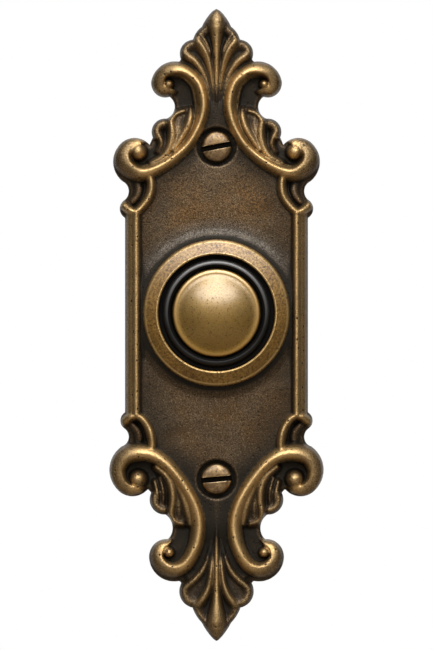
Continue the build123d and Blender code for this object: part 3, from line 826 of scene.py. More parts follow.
def at_height(ring, height):
    """A copy of a ring at one height in front of the wall."""
    return add_ring([(plate_points[i][0], -height, plate_points[i][2]) for i in ring])


def toward(ring, centre_z, radius, height):
    """A copy of a ring drawn in or out to a radius round a hole's axis."""
    moved = []
    for i in ring:
        angle = math.atan2(plate_points[i][2] - centre_z, plate_points[i][0])
        moved.append((radius * math.cos(angle), -height, centre_z + radius * math.sin(angle)))
    return add_ring(moved)


def cap(*rings):
    """Fills a flat face that is bounded by the first ring and has the others as holes."""
    numbers = [i for ring in rings for i in ring]
    loops = [[Vector((plate_points[i][0], plate_points[i][2], 0)) for i in ring] for ring in rings]
    for triangle in tessellate_polygon(loops):
        plate_faces.append([numbers[i] for i in triangle])


def chamfered_box(height):
    """The ring of the recess, with cut corners, at one height."""
    (x0, z0), (x1, z1), c = recess_low, recess_high, recess_corner
    right = [(x0 + c, z0), (x1 - c, z0), (x1, z0 + c), (x1, z1 - c)]
    left = [(x1 - c, z1), (x0 + c, z1), (x0, z1 - c), (x0, z0 + c)]
    return add_ring([(px, -height, pz) for px, pz in right + left])


def loop_at(centre_z, reach):
    """The open loop of the sheet that runs round a hole."""
    def off(loop):
        return abs(np.hypot(*(sheet_points[loop] - (0, centre_z)).T).mean() - reach)
    return min(sheet_loops, key=off)


# %% Closing the mesh
rim_loop = max(sheet_loops, key=len)
back_rim = at_height(rim_loop, 0)
wall(rim_loop, back_rim)
bore_loop = loop_at(0, bore_radius)
bore_back = at_height(bore_loop, recess_depth)
wall(bore_loop, bore_back)
shank_rings = []
for centre in (screw_z, -screw_z):
    mouth = loop_at(centre, counterbore_radius)
    floor_edge = at_height(mouth, counterbore_floor)
    hole_edge = toward(mouth, centre, shank_hole, counterbore_floor)
    hole_back = toward(mouth, centre, shank_hole, 0)
    wall(mouth, floor_edge)
    wall(floor_edge, hole_edge)
    wall(hole_edge, hole_back)
    shank_rings.append(hole_back)
    sharp_loops += [mouth, floor_edge, hole_edge, hole_back]
recess_mouth, recess_floor = chamfered_box(0), chamfered_box(recess_depth)
wall(recess_mouth, recess_floor)
cap(back_rim, recess_mouth, *shank_rings)
cap(recess_floor, bore_back)
sharp_loops += [back_rim, bore_loop, bore_back, recess_mouth, recess_floor]
print("plate points", len(plate_points), "sharp loops", len(sharp_loops))

# %% The casting's mesh
def in_scene(name, data):
    """An object in the scene for a mesh, a camera or a light."""
    thing = bpy.data.objects.new(name, data)
    bpy.context.scene.collection.objects.link(thing)
    return thing


def finished_mesh(name, points, faces):
    """An object from points in millimetres and faces, with every face turned outwards."""
    mesh = bpy.data.meshes.new(name)
    mesh.from_pydata([[c * MM for c in p] for p in points], [], faces)
    shape = bmesh.new()
    shape.from_mesh(mesh)
    bmesh.ops.recalc_face_normals(shape, faces=shape.faces)
    for face in shape.faces:
        face.smooth = True
    shape.to_mesh(mesh)
    shape.free()
    return in_scene(name, mesh)


plate = finished_mesh("plate_casting", plate_points, plate_faces)
edge_of = {tuple(sorted(e.vertices)): e.index for e in plate.data.edges}
sharp = plate.data.attributes.new("sharp_edge", "BOOLEAN", "EDGE")
for loop in sharp_loops:
    for ends in zip(loop, loop[1:] + loop[:1]):
        edge = edge_of.get(tuple(sorted(ends)))
        if edge is not None:
            sharp.data[edge].value = True
place = np.array(plate_points)
for name, field in (("crest", crest_mask), ("recess", recess_mask)):
    values = sample(field, place[:, 0], place[:, 2]) * (-place[:, 1] > wall_height - 0.5)
    plate.data.attributes.new(name, "FLOAT", "POINT").data.foreach_set("value", values.astype(np.float32))
print("plate faces", len(plate.data.polygons))

# %% [markdown]
# ## Turned pieces
# The bezel, the button and the screws are lathe work, so each is a profile of radius and
# height spun round an axis. A corner of the profile can carry a rounding, which becomes a
# short arc: real edges are never perfectly sharp, and it is these arcs that catch the light.

# %% Turned pieces
def rounded(corners, steps=5):
    """A profile whose corners (radius, height, rounding) are turned into arcs."""
    points = []
    for i, (r, h, rounding) in enumerate(corners):
        here = np.array((r, h), float)
        if not rounding:
            points.append(here)
            continue
        before = np.array(corners[i - 1][:2]) - here
        after = np.array(corners[(i + 1) % len(corners)][:2]) - here
        before /= np.hypot(*before)
        after /= np.hypot(*after)
        half = math.acos(np.clip(before @ after, -1, 1)) / 2
        middle = before + after
        centre = here + middle / np.hypot(*middle) * rounding / math.sin(half)
        start = here + before * rounding / math.tan(half) - centre
        end = here + after * rounding / math.tan(half) - centre
        for share in np.linspace(0, 1, steps + 1):
            spoke = start * (1 - share) + end * share
            points.append(centre + spoke / np.hypot(*spoke) * rounding)
    return points


def turned(name, profile, segments=144):
    """Spins a closed profile of radius and height round the Y axis through the origin."""
    points, faces, rings = [], [], []
    for r, h in profile:
        count = segments if r > 1e-6 else 1
        rings.append([len(points) + i for i in range(count)])
        for i in range(count):
            angle = 2 * math.pi * i / segments
            points.append((r * math.cos(angle), -h, r * math.sin(angle)))
    for ring, other in zip(rings, rings[1:] + rings[:1]):
        if len(ring) == 1 and len(other) == 1:
            continue
        for i in range(segments):
            j = (i + 1) % segments
            corners = [ring[i % len(ring)], ring[j % len(ring)], other[j % len(other)], other[i % len(other)]]
            faces.append(list(dict.fromkeys(corners)))
    piece = finished_mesh(name, points, faces)
    piece.data.set_sharp_from_angle(angle=math.radians(38))
    return piece


mouth_radius = 11.1
spigot_radius = 12.2
guide_radius = 8.6
ledge_top = 5.6
bezel_rear = 2.0
bezel_side = 7.0
shoulder_radius, shoulder_rise = 13.5, 7.57
mouth_lip = 0.25
bezel = turned("bezel_turned", rounded([
    (guide_radius, bezel_rear, 0.15),
    (spigot_radius, bezel_rear, 0.15),
    (spigot_radius, collar_height, 0),
    (bezel_radius, collar_height, 0.12),
    (bezel_radius, bezel_side, 0.35),
    (shoulder_radius, shoulder_rise, 0.4),
    (mouth_radius + mouth_lip, bezel_top, 0.06),
    (mouth_radius, bezel_top - mouth_lip, 0.06),
    (mouth_radius, ledge_top, 0),
    (guide_radius, ledge_top, 0.12),
]))

ring_low, ring_mean, ring_half, ring_rise = 6.2, 9.45, 0.85, 1.1
arc = [math.pi * i / 14 for i in range(15)]
seal = turned("seal_moulding", [
    (guide_radius, ledge_top),
    (seal_radius, ledge_top),
    (seal_radius, ring_low - 0.1),
    (seal_radius - 0.1, ring_low),
] + [(ring_mean + ring_half * math.cos(a), ring_low + ring_rise * math.sin(a)) for a in arc])

dome_radius, dome_edge, dome_end = 7.2, 7.6, 6.5
skirt_rear = 4.0
under_dome = 6.9
dome_fall = (button_top - dome_edge) / dome_radius**2
dome = [(r, button_top - dome_fall * r**2) for r in np.linspace(0, dome_end, 30)]
rolled_edge = smooth_path([
    (6.6, 7.95),
    (7.0, 7.76),
    (7.35, 7.66),
    (7.75, 7.62),
    (8.1, 7.49),
    (8.32, 7.22),
    (button_radius, 6.9),
])
button = turned("button_dome", dome + [tuple(p) for p in rolled_edge] + rounded([
    (button_radius, 6.8, 0),
    (button_radius, skirt_rear, 0.15),
    (dome_radius, skirt_rear, 0.15),
    (dome_radius, under_dome, 0.2),
    (0, under_dome, 0),
]))
print("turned", [len(piece.data.polygons) for piece in (bezel, seal, button)])

# %% [markdown]
# ## Node trees that build shapes
# Screws come in pairs, and a thread or a spring is one wire wound round an axis. Geometry
# Nodes suit both: one tree winds a helix and one sets a pair of screws, each with its own
# turn of the slot. Every tree ends in real geometry with its material, and the result is kept
# as a plain mesh, because an export would lose instances.

# %% Node trees that build shapes
def add(tree, kind, inputs=None, **settings):
    """A new node with its settings, and a value or another node's socket on each named input."""
    node = tree.nodes.new(kind)
    for key, value in settings.items():
        setattr(node, key, value)
    for key, value in (inputs or {}).items():
        if isinstance(value, bpy.types.NodeSocket):
            tree.links.new(value, node.inputs[key])
        else:
            node.inputs[key].default_value = value
    return node


def shape_tree(name, sockets):
    """An empty Geometry Nodes tree with named inputs; gives the tree and the inputs' sockets."""
    tree = bpy.data.node_groups.new(name, "GeometryNodeTree")
    tree.interface.new_socket("Geometry", in_out="OUTPUT", socket_type="NodeSocketGeometry")
    for label, kind in sockets.items():
        tree.interface.new_socket(label, in_out="INPUT", socket_type="NodeSocket" + kind)
    return tree, tree.nodes.new("NodeGroupInput").outputs


def end_tree(tree, shape, material):
    """Ends a tree in real geometry of one material."""
    whole = add(tree, "GeometryNodeRealizeInstances", {"Geometry": shape})
    coloured = add(tree, "GeometryNodeSetMaterial", {"Geometry": whole.outputs[0], "Material": material})
    add(tree, "NodeGroupOutput", {"Geometry": coloured.outputs[0]})


def grown(name, tree, values):
    """A plain mesh object made by a Geometry Nodes tree with the given inputs."""
    piece = in_scene(name, bpy.data.meshes.new(name + "_start"))
    modifier = piece.modifiers.new("build", "NODES")
    modifier.node_group = tree
    for item in tree.interface.items_tree:
        if item.in_out == "INPUT":
            modifier[item.identifier] = values[item.name]
    shaped = piece.evaluated_get(bpy.context.evaluated_depsgraph_get())
    mesh = bpy.data.meshes.new_from_object(shaped)
    piece.modifiers.clear()
    piece.data = mesh
    mesh.name = name
    return piece


# %% The helix tree
def helix_tree():
    """A wire wound forwards along the Y axis, with flat closed turns at its ends if wanted."""
    tree, given = shape_tree("helix", {
        "Start Radius": "Float", "End Radius": "Float", "Turns": "Float", "Length": "Float",
        "Closed Share": "Float", "Wire Radius": "Float", "Wire Sides": "Int", "Rear": "Float",
        "Material": "Material",
    })
    spiral = add(tree, "GeometryNodeCurveSpiral", {
        "Resolution": 28, "Rotations": given["Turns"], "Start Radius": given["Start Radius"],
        "End Radius": given["End Radius"], "Height": 0.0,
    })
    along = add(tree, "GeometryNodeSplineParameter").outputs["Factor"]
    far_share = add(tree, "ShaderNodeMath", {0: 1.0, 1: given["Closed Share"]}, operation="SUBTRACT")
    rise = add(tree, "ShaderNodeMapRange", {
        "Value": along, "From Min": given["Closed Share"], "From Max": far_share.outputs[0],
        "To Max": given["Length"],
    })
    lift = add(tree, "ShaderNodeCombineXYZ", {"Z": rise.outputs["Result"]})
    wound = add(tree, "GeometryNodeSetPosition", {"Geometry": spiral.outputs[0], "Offset": lift.outputs[0]})
    upright = add(tree, "GeometryNodeSetCurveNormal", {"Curve": wound.outputs[0]}, mode="Z_UP")
    wire = add(tree, "GeometryNodeCurvePrimitiveCircle", {
        "Resolution": given["Wire Sides"], "Radius": given["Wire Radius"],
    })
    body = add(tree, "GeometryNodeCurveToMesh", {
        "Curve": upright.outputs[0], "Profile Curve": wire.outputs["Curve"], "Fill Caps": True,
    })
    back = add(tree, "ShaderNodeCombineXYZ", {"Y": given["Rear"]})
    turned_over = add(tree, "GeometryNodeTransform", {
        "Geometry": body.outputs[0], "Translation": back.outputs[0], "Rotation": (math.pi / 2, 0, 0),
    })
    end_tree(tree, turned_over.outputs[0], given["Material"])
    return tree


helix = helix_tree()
print("tree", helix.name, "with", len(helix.nodes), "nodes")

# %% The pair tree
def pair_tree():
    """Two copies of a master object, the second a step from the first, each turned about its axis."""
    tree, given = shape_tree("pair", {
        "Master": "Object", "First": "Vector", "Step": "Vector", "First Turn": "Float",
        "Second Turn": "Float", "Material": "Material",
    })
    first_turn, second_turn = given["First Turn"], given["Second Turn"]
    spots = add(tree, "GeometryNodeMeshLine", {
        "Count": 2, "Start Location": given["First"], "Offset": given["Step"],
    })
    number = add(tree, "GeometryNodeInputIndex").outputs[0]
    change = add(tree, "ShaderNodeMath", {0: second_turn, 1: first_turn}, operation="SUBTRACT").outputs[0]
    turn = add(tree, "ShaderNodeMath", {0: number, 1: change, 2: first_turn}, operation="MULTIPLY_ADD")
    about_y = add(tree, "ShaderNodeCombineXYZ", {"Y": turn.outputs[0]})
    rotation = add(tree, "FunctionNodeEulerToRotation", {"Euler": about_y.outputs[0]})
    master = add(tree, "GeometryNodeObjectInfo", {"Object": given["Master"]})
    copies = add(tree, "GeometryNodeInstanceOnPoints", {
        "Points": spots.outputs[0], "Instance": master.outputs["Geometry"], "Rotation": rotation.outputs[0],
    })
    end_tree(tree, copies.outputs[0], given["Material"])
    return tree


pair = pair_tree()
print("tree", pair.name, "with", len(pair.nodes), "nodes")

# %% [markdown]
# ## Finishes shared by several metals
# Old brass has four things in common wherever it is: a fine grain, cloudy tarnish, small dark
# pits from the casting and finer flecks. They are worked out once in a node group that gives
# plain masks, and each metal lays its own colours over one another with them.

# %% Finishes shared by several metals
def shader_group(name, given, results):
    """An empty shader node group; gives the group, its input sockets and its output node."""
    group = bpy.data.node_groups.new(name, "ShaderNodeTree")
    for label, kind in given.items():
        group.interface.new_socket(label, in_out="INPUT", socket_type="NodeSocket" + kind)
    for label, kind in results.items():
        group.interface.new_socket(label, in_out="OUTPUT", socket_type="NodeSocket" + kind)
    return group, group.nodes.new("NodeGroupInput").outputs, group.nodes.new("NodeGroupOutput").inputs


def span(tree, value, low, high, start=0.0, end=1.0):
    """A value stretched so that low gives start and high gives end."""
    node = add(tree, "ShaderNodeMapRange", {
        "Value": value, "From Min": low, "From Max": high, "To Min": start, "To Max": end,
    })
    return node.outputs["Result"]


def maths(tree, operation, *values):
    """One arithmetic step."""
    return add(tree, "ShaderNodeMath", dict(enumerate(values)), operation=operation).outputs[0]


def blend(tree, share, first, second):
    """Two colours mixed by a share."""
    node = add(tree, "ShaderNodeMix", data_type="RGBA")
    for index, value in ((0, share), (6, first), (7, second)):
        if isinstance(value, bpy.types.NodeSocket):
            tree.links.new(value, node.inputs[index])
        else:
            node.inputs[index].default_value = value if index == 0 else (*value, 1)
    return node.outputs[2]


def noise(tree, where, scale, detail=2.0, roughness=0.5):
    """Cloudy noise at a scale counted per metre."""
    node = add(tree, "ShaderNodeTexNoise", {
        "Vector": where, "Scale": scale, "Detail": detail, "Roughness": roughness,
    })
    return node.outputs[0]


def metal_wear_group():
    """Grain, tarnish, pits and fine flecks as masks from 0 to 1."""
    group, given, result = shader_group(
        "metal_wear", {"Place": "Vector", "Grain Scale": "Float"},
        {"Grain": "Float", "Tarnish": "Float", "Pits": "Float", "Flecks": "Float"},
    )
    grain = noise(group, given["Place"], given["Grain Scale"], 3.0, 0.65)
    clouds = noise(group, given["Place"], 170.0, 4.0, 0.6)
    cells = add(group, "ShaderNodeTexVoronoi", {"Vector": given["Place"], "Scale": 950.0})
    chosen = add(group, "ShaderNodeSeparateColor", {"Color": cells.outputs["Color"]})
    rare = span(group, chosen.outputs[0], 0.52, 0.56)
    spot = span(group, cells.outputs["Distance"], 0.15, 0.25, 1.0, 0.0)
    flecks = noise(group, given["Place"], 3000.0, 3.0, 0.6)
    for label, value in (
        ("Grain", span(group, grain, 0.3, 0.7)),
        ("Tarnish", span(group, clouds, 0.35, 0.68)),
        ("Pits", maths(group, "MULTIPLY", rare, spot)),
        ("Flecks", span(group, flecks, 0.57, 0.68)),
    ):
        group.links.new(value, result[label])
    return group


metal_wear = metal_wear_group()
print("group", metal_wear.name, "with", len(metal_wear.nodes), "nodes")

# %% Helpers for one finish
def socket_name(label):
    """The shader's name of an input that is written in small letters here."""
    return label.replace("_", " ").title().replace("Ior", "IOR")


def new_material(name, **constants):
    """A material with one Principled shader; gives the material, its tree and the shader."""
    material = bpy.data.materials.new(name)
    material.use_nodes = True
    tree = material.node_tree
    shader = tree.nodes["Principled BSDF"]
    for label, value in constants.items():
        shader.inputs[socket_name(label)].default_value = value
    return material, tree, shader


def feed(tree, shader, **values):
    """Links what varies over the surface to the shader's inputs."""
    for label, value in values.items():
        tree.links.new(value, shader.inputs[socket_name(label)])


def layered(tree, colour, *layers):
    """A colour with layers over it; a layer is a mask, how much of it shows, and its own colour."""
    for mask, most, tint in layers:
        colour = blend(tree, maths(tree, "MULTIPLY", mask, most), colour, tint)
    return colour


def attribute(tree, name):
    """The value of a mask on the mesh."""
    return add(tree, "ShaderNodeAttribute", attribute_name=name).outputs["Fac"]


def object_place(tree):
    """The place on the piece, in its own metres."""
    return add(tree, "ShaderNodeTexCoord").outputs["Object"]


def wear(tree, grain_scale):
    """The shared wear masks in a material."""
    inputs = {"Place": object_place(tree), "Grain Scale": grain_scale}
    return add(tree, "ShaderNodeGroup", inputs, node_tree=metal_wear).outputs


def from_button_axis(tree):
    """Distance from the button's axis, in metres."""
    place = add(tree, "ShaderNodeSeparateXYZ", {0: object_place(tree)}).outputs
    flat = add(tree, "ShaderNodeCombineXYZ", {"X": place["X"], "Z": place["Z"]}).outputs[0]
    return add(tree, "ShaderNodeVectorMath", {0: flat}, operation="LENGTH").outputs["Value"]


def by_height(tree, low, high, least, most):
    """A value that changes with the height above the button's axis, between two heights in mm."""
    place = add(tree, "ShaderNodeSeparateXYZ", {0: object_place(tree)}).outputs
    return span(tree, place["Z"], low * MM, high * MM, least, most)


def near_radius(tree, radius, core, reach):
    """1 within core millimetres of a radius round the button's axis, and 0 beyond its reach."""
    off = maths(tree, "ABSOLUTE", maths(tree, "SUBTRACT", from_button_axis(tree), radius * MM))
    return span(tree, off, core * MM, reach * MM, 1.0, 0.0)


def bump(tree, shader, height, distance):
    """Small unevenness of a surface, with its depth in metres."""
    node = add(tree, "ShaderNodeBump", {"Height": height, "Distance": distance})
    feed(tree, shader, normal=node.outputs[0])


print("coat_ior is the socket", socket_name("coat_ior"))

# %% [markdown]
# ## Antique brass for the casting
# The casting is dipped in a dark patina and then rubbed back: near black in the hollows, a
# speckled brown on the field and gold along the crests. The masks on the mesh say where each
# belongs, and the grain breaks up their borders. On the field, rusty patches lie in a broad
# ring round the button, a grey painted highlight lies on the collar above the bezel, where it
# faces the light, and the lower field is painted darker as shade. Patina is less metallic than
# brass, so the hollows also lose their shine.

# %% Antique brass for the casting
rust_at, collar_highlight_at = 22.0, 15.4
field_brown, field_tan = (0.165, 0.107, 0.057), (0.235, 0.165, 0.100)
rust, collar_highlight_grey = (0.27, 0.140, 0.045), (0.21, 0.19, 0.165)
lower_shade_brown, grain_brown, grain_pale = (0.050, 0.032, 0.017), (0.045, 0.029, 0.016), (0.36, 0.27, 0.17)
gold_bright, gold_dull = (0.98, 0.672, 0.305), (0.74, 0.492, 0.212)
gold_grain, gold_fleck = (0.30, 0.18, 0.07), (0.12, 0.075, 0.03)
patina_shade_dark, pit_dark = (0.019, 0.015, 0.010), (0.02, 0.014, 0.008)


def antique_brass():
    """Cast brass with a patina that follows the masks on the mesh."""
    material, tree, shader = new_material("antique_brass", coat_roughness=0.34)
    crest, recess = attribute(tree, "crest"), attribute(tree, "recess")
    worn = wear(tree, 4400.0)
    patches = span(tree, noise(tree, object_place(tree), 110.0, 2.0), 0.38, 0.60)
    rusty = maths(tree, "MULTIPLY", near_radius(tree, rust_at, 2.0, 7.0), patches)
    # Painted highlight: a grey sheen on the collar's upper half, where it faces the light.
    above = by_height(tree, -4.0, 10.0, 0.0, 0.8)
    collar_highlight = maths(tree, "MULTIPLY", near_radius(tree, collar_highlight_at, 0.6, 3.0), above)
    field = layered(
        tree, blend(tree, worn["Tarnish"], field_brown, field_tan),
        (rusty, 0.8, rust),
        (collar_highlight, 1.0, collar_highlight_grey),
        # painted shade: the field is painted darker towards the bottom
        (by_height(tree, -14.0, 2.0, 0.25, 0.0), 1.0, lower_shade_brown),
        (span(tree, worn["Grain"], 0.1, 0.9), 1.0, grain_brown),
        (worn["Flecks"], 0.5, grain_pale),
    )
    rubbed = layered(
        tree, blend(tree, worn["Tarnish"], gold_bright, gold_dull),
        (worn["Grain"], 0.45, gold_grain),
        (worn["Flecks"], 0.7, gold_fleck),
    )
    broken = maths(tree, "MULTIPLY_ADD", worn["Grain"], -0.4, maths(tree, "MULTIPLY", crest, 1.3))
    deep = maths(tree, "MULTIPLY_ADD", worn["Grain"], 0.3, maths(tree, "MULTIPLY", recess, 1.2))
    hollow = span(tree, deep, 0.2, 1.25)
    # The hollow colour carries both the patina in the hollows and the painted shade in the recess mask.
    colour = layered(
        tree, blend(tree, span(tree, broken, 0.0, 0.9), field, rubbed),
        (hollow, 1.0, patina_shade_dark),
        (worn["Pits"], span(tree, crest, 0.0, 0.6, 0.15, 1.0), pit_dark),
    )
    dull = span(tree, broken, 0.0, 1.0, 0.47, 0.34)
    feed(
        tree, shader, base_color=colour,
        metallic=span(tree, hollow, 0.0, 1.0, 1.0, 0.75),
        coat_weight=span(tree, hollow, 0.0, 0.9, 0.25, 0.05),
        roughness=maths(tree, "MULTIPLY_ADD", worn["Grain"], 0.10, dull),
    )
    rough = maths(tree, "SUBTRACT", worn["Grain"], maths(tree, "MULTIPLY", worn["Pits"], 2.0))
    bump(tree, shader, rough, 0.00004)
    return material


brass_cast = antique_brass()
print("finish", brass_cast.name)

# %% [markdown]
# ## Satin brass, screw brass, rubber and the materials behind the wall
# The button and bezel are turned and brushed to a satin under a clear lacquer, which is the
# shader's coat. The coat is made thinner lower down, which paints a stronger sheen on the upper
# half, and it is broken by flecks; the turned edges carry painted highlights. The screws are
# darker and mottled, because they were coloured with the plate; only the lips of their slots
# are rubbed, and they carry a painted highlight, while the slot floors are painted dark as grime
# and shade. The rubber is almost black with a painted sheen along its top, and behind the wall
# are moulded plastic, spring steel and bright stamped brass.

# %% Satin brass and screw brass
roll_highlight_at = 7.95
mouth_highlight, shoulder_highlight = 11.32, 13.6


def lacquer(tree, height_sheen, marks, bare):
    """Clear lacquer rising with height as a painted sheen, less where marks lay some of the metal bare."""
    return maths(tree, "MULTIPLY", height_sheen, maths(tree, "MULTIPLY_ADD", marks, -bare, 1.0))


def satin_brass():
    """The button's brushed brass, with a painted highlight along its rolled edge."""
    material, tree, shader = new_material("satin_brass", metallic=1.0, coat_roughness=0.31, coat_ior=2.3)
    worn = wear(tree, 4200.0)
    colour = layered(
        tree, blend(tree, worn["Tarnish"], (0.45, 0.26, 0.022), (0.37, 0.205, 0.014)),
        (worn["Grain"], 0.8, (0.20, 0.11, 0.010)),
        (worn["Flecks"], 0.7, (0.10, 0.055, 0.010)),
        (worn["Pits"], 0.3, (0.10, 0.06, 0.02)),
        # painted highlight along the rolled edge
        (near_radius(tree, roll_highlight_at, 0.12, 0.4), 0.5, (0.90, 0.55, 0.16)),
    )
    feed(
        tree, shader, base_color=colour,
        # painted sheen: the coat thickens with height, so the upper half shines more
        coat_weight=lacquer(tree, by_height(tree, -7.0, 3.0, 0.35, 0.9), worn["Flecks"], 0.7),
        roughness=maths(tree, "MULTIPLY_ADD", worn["Grain"], 0.08, 0.47),
    )
    bump(tree, shader, worn["Grain"], 0.00001)
    return material


def bezel_brass():
    """The bezel's brass, coarser and darker, with painted highlights at its mouth and its shoulder."""
    material, tree, shader = new_material("bezel_brass", metallic=1.0, coat_roughness=0.33, coat_ior=2.2)
    worn = wear(tree, 2400.0)
    at_mouth = near_radius(tree, mouth_highlight, 0.08, 0.2)
    at_shoulder = near_radius(tree, shoulder_highlight, 0.05, 0.25)
    colour = layered(
        tree, blend(tree, worn["Tarnish"], (0.43, 0.245, 0.050), (0.29, 0.155, 0.030)),
        (worn["Grain"], 0.9, (0.10, 0.050, 0.014)),
        # painted highlights at the mouth and the shoulder
        (maths(tree, "MAXIMUM", at_mouth, at_shoulder), 0.8, (0.95, 0.68, 0.30)),
        (worn["Flecks"], 0.8, (0.05, 0.028, 0.010)),
        (worn["Pits"], 0.6, (0.04, 0.025, 0.012)),
    )
    marks = maths(tree, "MAXIMUM", worn["Flecks"], maths(tree, "MULTIPLY", worn["Grain"], 0.8))
    feed(
        tree, shader, base_color=colour,
        # painted sheen: the coat thickens with height, so the upper half shines more
        coat_weight=lacquer(tree, by_height(tree, -2.0, 12.0, 0.25, 0.8), marks, 0.75),
        roughness=maths(tree, "MULTIPLY_ADD", worn["Grain"], 0.12, 0.40),
    )
    bump(tree, shader, worn["Grain"], 0.00004)
    return material


def screw_brass():
    """Mottled brass for the wall screws, with slot floors painted dark as grime and shade, and rubbed lips
    with a painted highlight.
    """
    material, tree, shader = new_material("screw_brass", metallic=1.0, coat_roughness=0.36, coat_ior=1.9)
    worn = wear(tree, 3000.0)
    dirt_and_shade = attribute(tree, "recess")
    colour = layered(
        tree, blend(tree, worn["Tarnish"], (0.60, 0.40, 0.175), (0.36, 0.22, 0.085)),
        (span(tree, noise(tree, object_place(tree), 900.0, 3.0), 0.42, 0.60), 0.85, (0.17, 0.092, 0.034)),
        (worn["Grain"], 0.6, (0.16, 0.10, 0.046)),
        (maths(tree, "MAXIMUM", worn["Flecks"], worn["Pits"]), 0.7, (0.03, 0.02, 0.012)),
        # rubbed lips with a painted highlight
        (span(tree, attribute(tree, "crest"), 0.1, 0.5), 1.0, (0.95, 0.74, 0.44)),
        # slot floors painted dark as grime and shade
        (span(tree, dirt_and_shade, 0.0, 0.5), 1.0, (0.006, 0.005, 0.004)),
    )
    feed(
        tree, shader, base_color=colour,
        coat_weight=span(tree, dirt_and_shade, 0.0, 0.5, 0.5, 0.0),
        roughness=maths(tree, "MULTIPLY_ADD", worn["Grain"], 0.12, 0.42),
    )
    bump(tree, shader, worn["Grain"], 0.00002)
    return material


brass_satin = satin_brass()
brass_bezel = bezel_brass()
brass_screw = screw_brass()
print("finishes", brass_satin.name, brass_bezel.name, brass_screw.name)

# %% Plain metals, rubber and plastics
def bright_metal(name, light, dark, roughness):
    """Steel, stamped brass or silver: a little cloudy, with a fine grain."""
    material, tree, shader = new_material(name, metallic=1.0)
    worn = wear(tree, 6000.0)
    feed(
        tree, shader, base_color=blend(tree, worn["Tarnish"], light, dark),
        roughness=maths(tree, "MULTIPLY_ADD", worn["Grain"], 0.12, roughness),
    )
    bump(tree, shader, worn["Grain"], 0.000004)
    return material


def soft_moulding(name, light, dark, roughness, texture, shine=0.5, sheen=False):
    """Rubber or plastic: a faintly cloudy colour, the texture of its mould, and a painted sheen at its top if
    asked.
    """
    material, tree, shader = new_material(name, specular_ior_level=shine, coat_roughness=0.48, coat_ior=2.4)
    place = object_place(tree)
    clouds = noise(tree, place, 300.0, 3.0)
    fine = noise(tree, place, 7000.0, 2.0)
    feed(
        tree, shader, base_color=blend(tree, span(tree, clouds, 0.3, 0.7), light, dark),
        roughness=maths(tree, "MULTIPLY_ADD", fine, 0.15, roughness),
    )
    # Painted sheen: the coat grows towards the top of the piece.
    if sheen:
        feed(tree, shader, coat_weight=by_height(tree, -3.0, 9.5, 0.0, 1.0))
    bump(tree, shader, fine, texture)
    return material


brass_bare = bright_metal("bare_brass", (0.78, 0.58, 0.27), (0.66, 0.46, 0.19), 0.22)
steel = bright_metal("spring_steel", (0.62, 0.62, 0.62), (0.48, 0.48, 0.49), 0.25)
silver = bright_metal("contact_silver", (0.84, 0.83, 0.80), (0.70, 0.69, 0.66), 0.20)
rubber_dark, rubber_pale = (0.004, 0.0038, 0.0035), (0.007, 0.0065, 0.006)
shadow_dark, shadow_pale = (0.002, 0.002, 0.002), (0.004, 0.0036, 0.003)
rubber = soft_moulding("black_rubber", rubber_dark, rubber_pale, 0.34, 0.000003, shine=0.35, sheen=True)
rubber_shaded = soft_moulding("shaded_rubber", shadow_dark, shadow_pale, 0.6, 0.000003, shine=0.1)
black = soft_moulding("black_plastic", (0.030, 0.030, 0.031), (0.040, 0.040, 0.041), 0.42, 0.00001)
white = soft_moulding("white_plastic", (0.80, 0.78, 0.71), (0.74, 0.72, 0.65), 0.40, 0.000006)
print("materials", len(bpy.data.materials))

# %% [markdown]
# ## Screws and spring
# A screw is a turned blank with a slot sawn across its head. The blank is spun once, the slot
# is cut with a boolean, and the pair tree sets two of them with the slots turned as in the
# photograph. The saw flares at the mouth of the slot, so that the lower lip catches the light.
# The wall screws also get a real thread, and the button's spring is wound from round wire with
# flat closed ends.

# %% Slotted blanks
slot_lip = 0.15


def slotted(name, profile, slot_width, slot_floor, face, segments=96):
    """A turned blank with a straight slot down from its face, whose mouth flares by a small lip."""
    blank = turned(name, profile, segments)
    reach = max(r for r, h in profile) + 1
    outwards = math.copysign(1, face - slot_floor)
    half = [
        (slot_width / 2, slot_floor),
        (slot_width / 2, face - outwards * slot_lip),
        (slot_width / 2 + slot_lip + 1, face + outwards),
    ]
    section = half + [(-across, h) for across, h in half[::-1]]
    count = len(section)
    corners = [(end * reach, -h, across) for end in (-1, 1) for across, h in section]
    sides = [list(range(count)), list(range(count, 2 * count))]
    for i in range(count):
        j = (i + 1) % count
        sides.append([i, j, count + j, count + i])
    saw = finished_mesh(name + "_saw", corners, sides)
    cut = blank.modifiers.new("slot", "BOOLEAN")
    cut.operation = "DIFFERENCE"
    cut.object = saw
    cut.solver = "EXACT"
    shaped = blank.evaluated_get(bpy.context.evaluated_depsgraph_get())
    mesh = bpy.data.meshes.new_from_object(shaped)
    blank.modifiers.clear()
    blank.data = mesh
    bpy.data.objects.remove(saw)
    mesh.set_sharp_from_angle(angle=math.radians(34))
    # The slot floor is marked for grime and painted shade, the upper slot walls for a rubbed lip with a
    # painted highlight.
    marks = {mark: mesh.attributes.new(mark, "FLOAT", "POINT").data for mark in ("recess", "crest")}
    for point in mesh.vertices:
        sunk = (-point.co.y / MM - face) / (slot_floor - face)
        inside = abs(point.co.z) / MM < slot_width / 2 + 0.01
        marks["recess"][point.index].value = float(inside and 0.99 < sunk < 1.01)
        marks["crest"][point.index].value = float(inside and 0.05 < sunk < 0.5)
    return blank


def joined(name, *objects):
    """One object from the meshes of several, which are then removed."""
    shape = bmesh.new()
    for item in objects:
        shape.from_mesh(item.data)
    mesh = bpy.data.meshes.new(name)
    shape.to_mesh(mesh)
    shape.free()
    for item in objects:
        bpy.data.objects.remove(item)
    return in_scene(name, mesh)


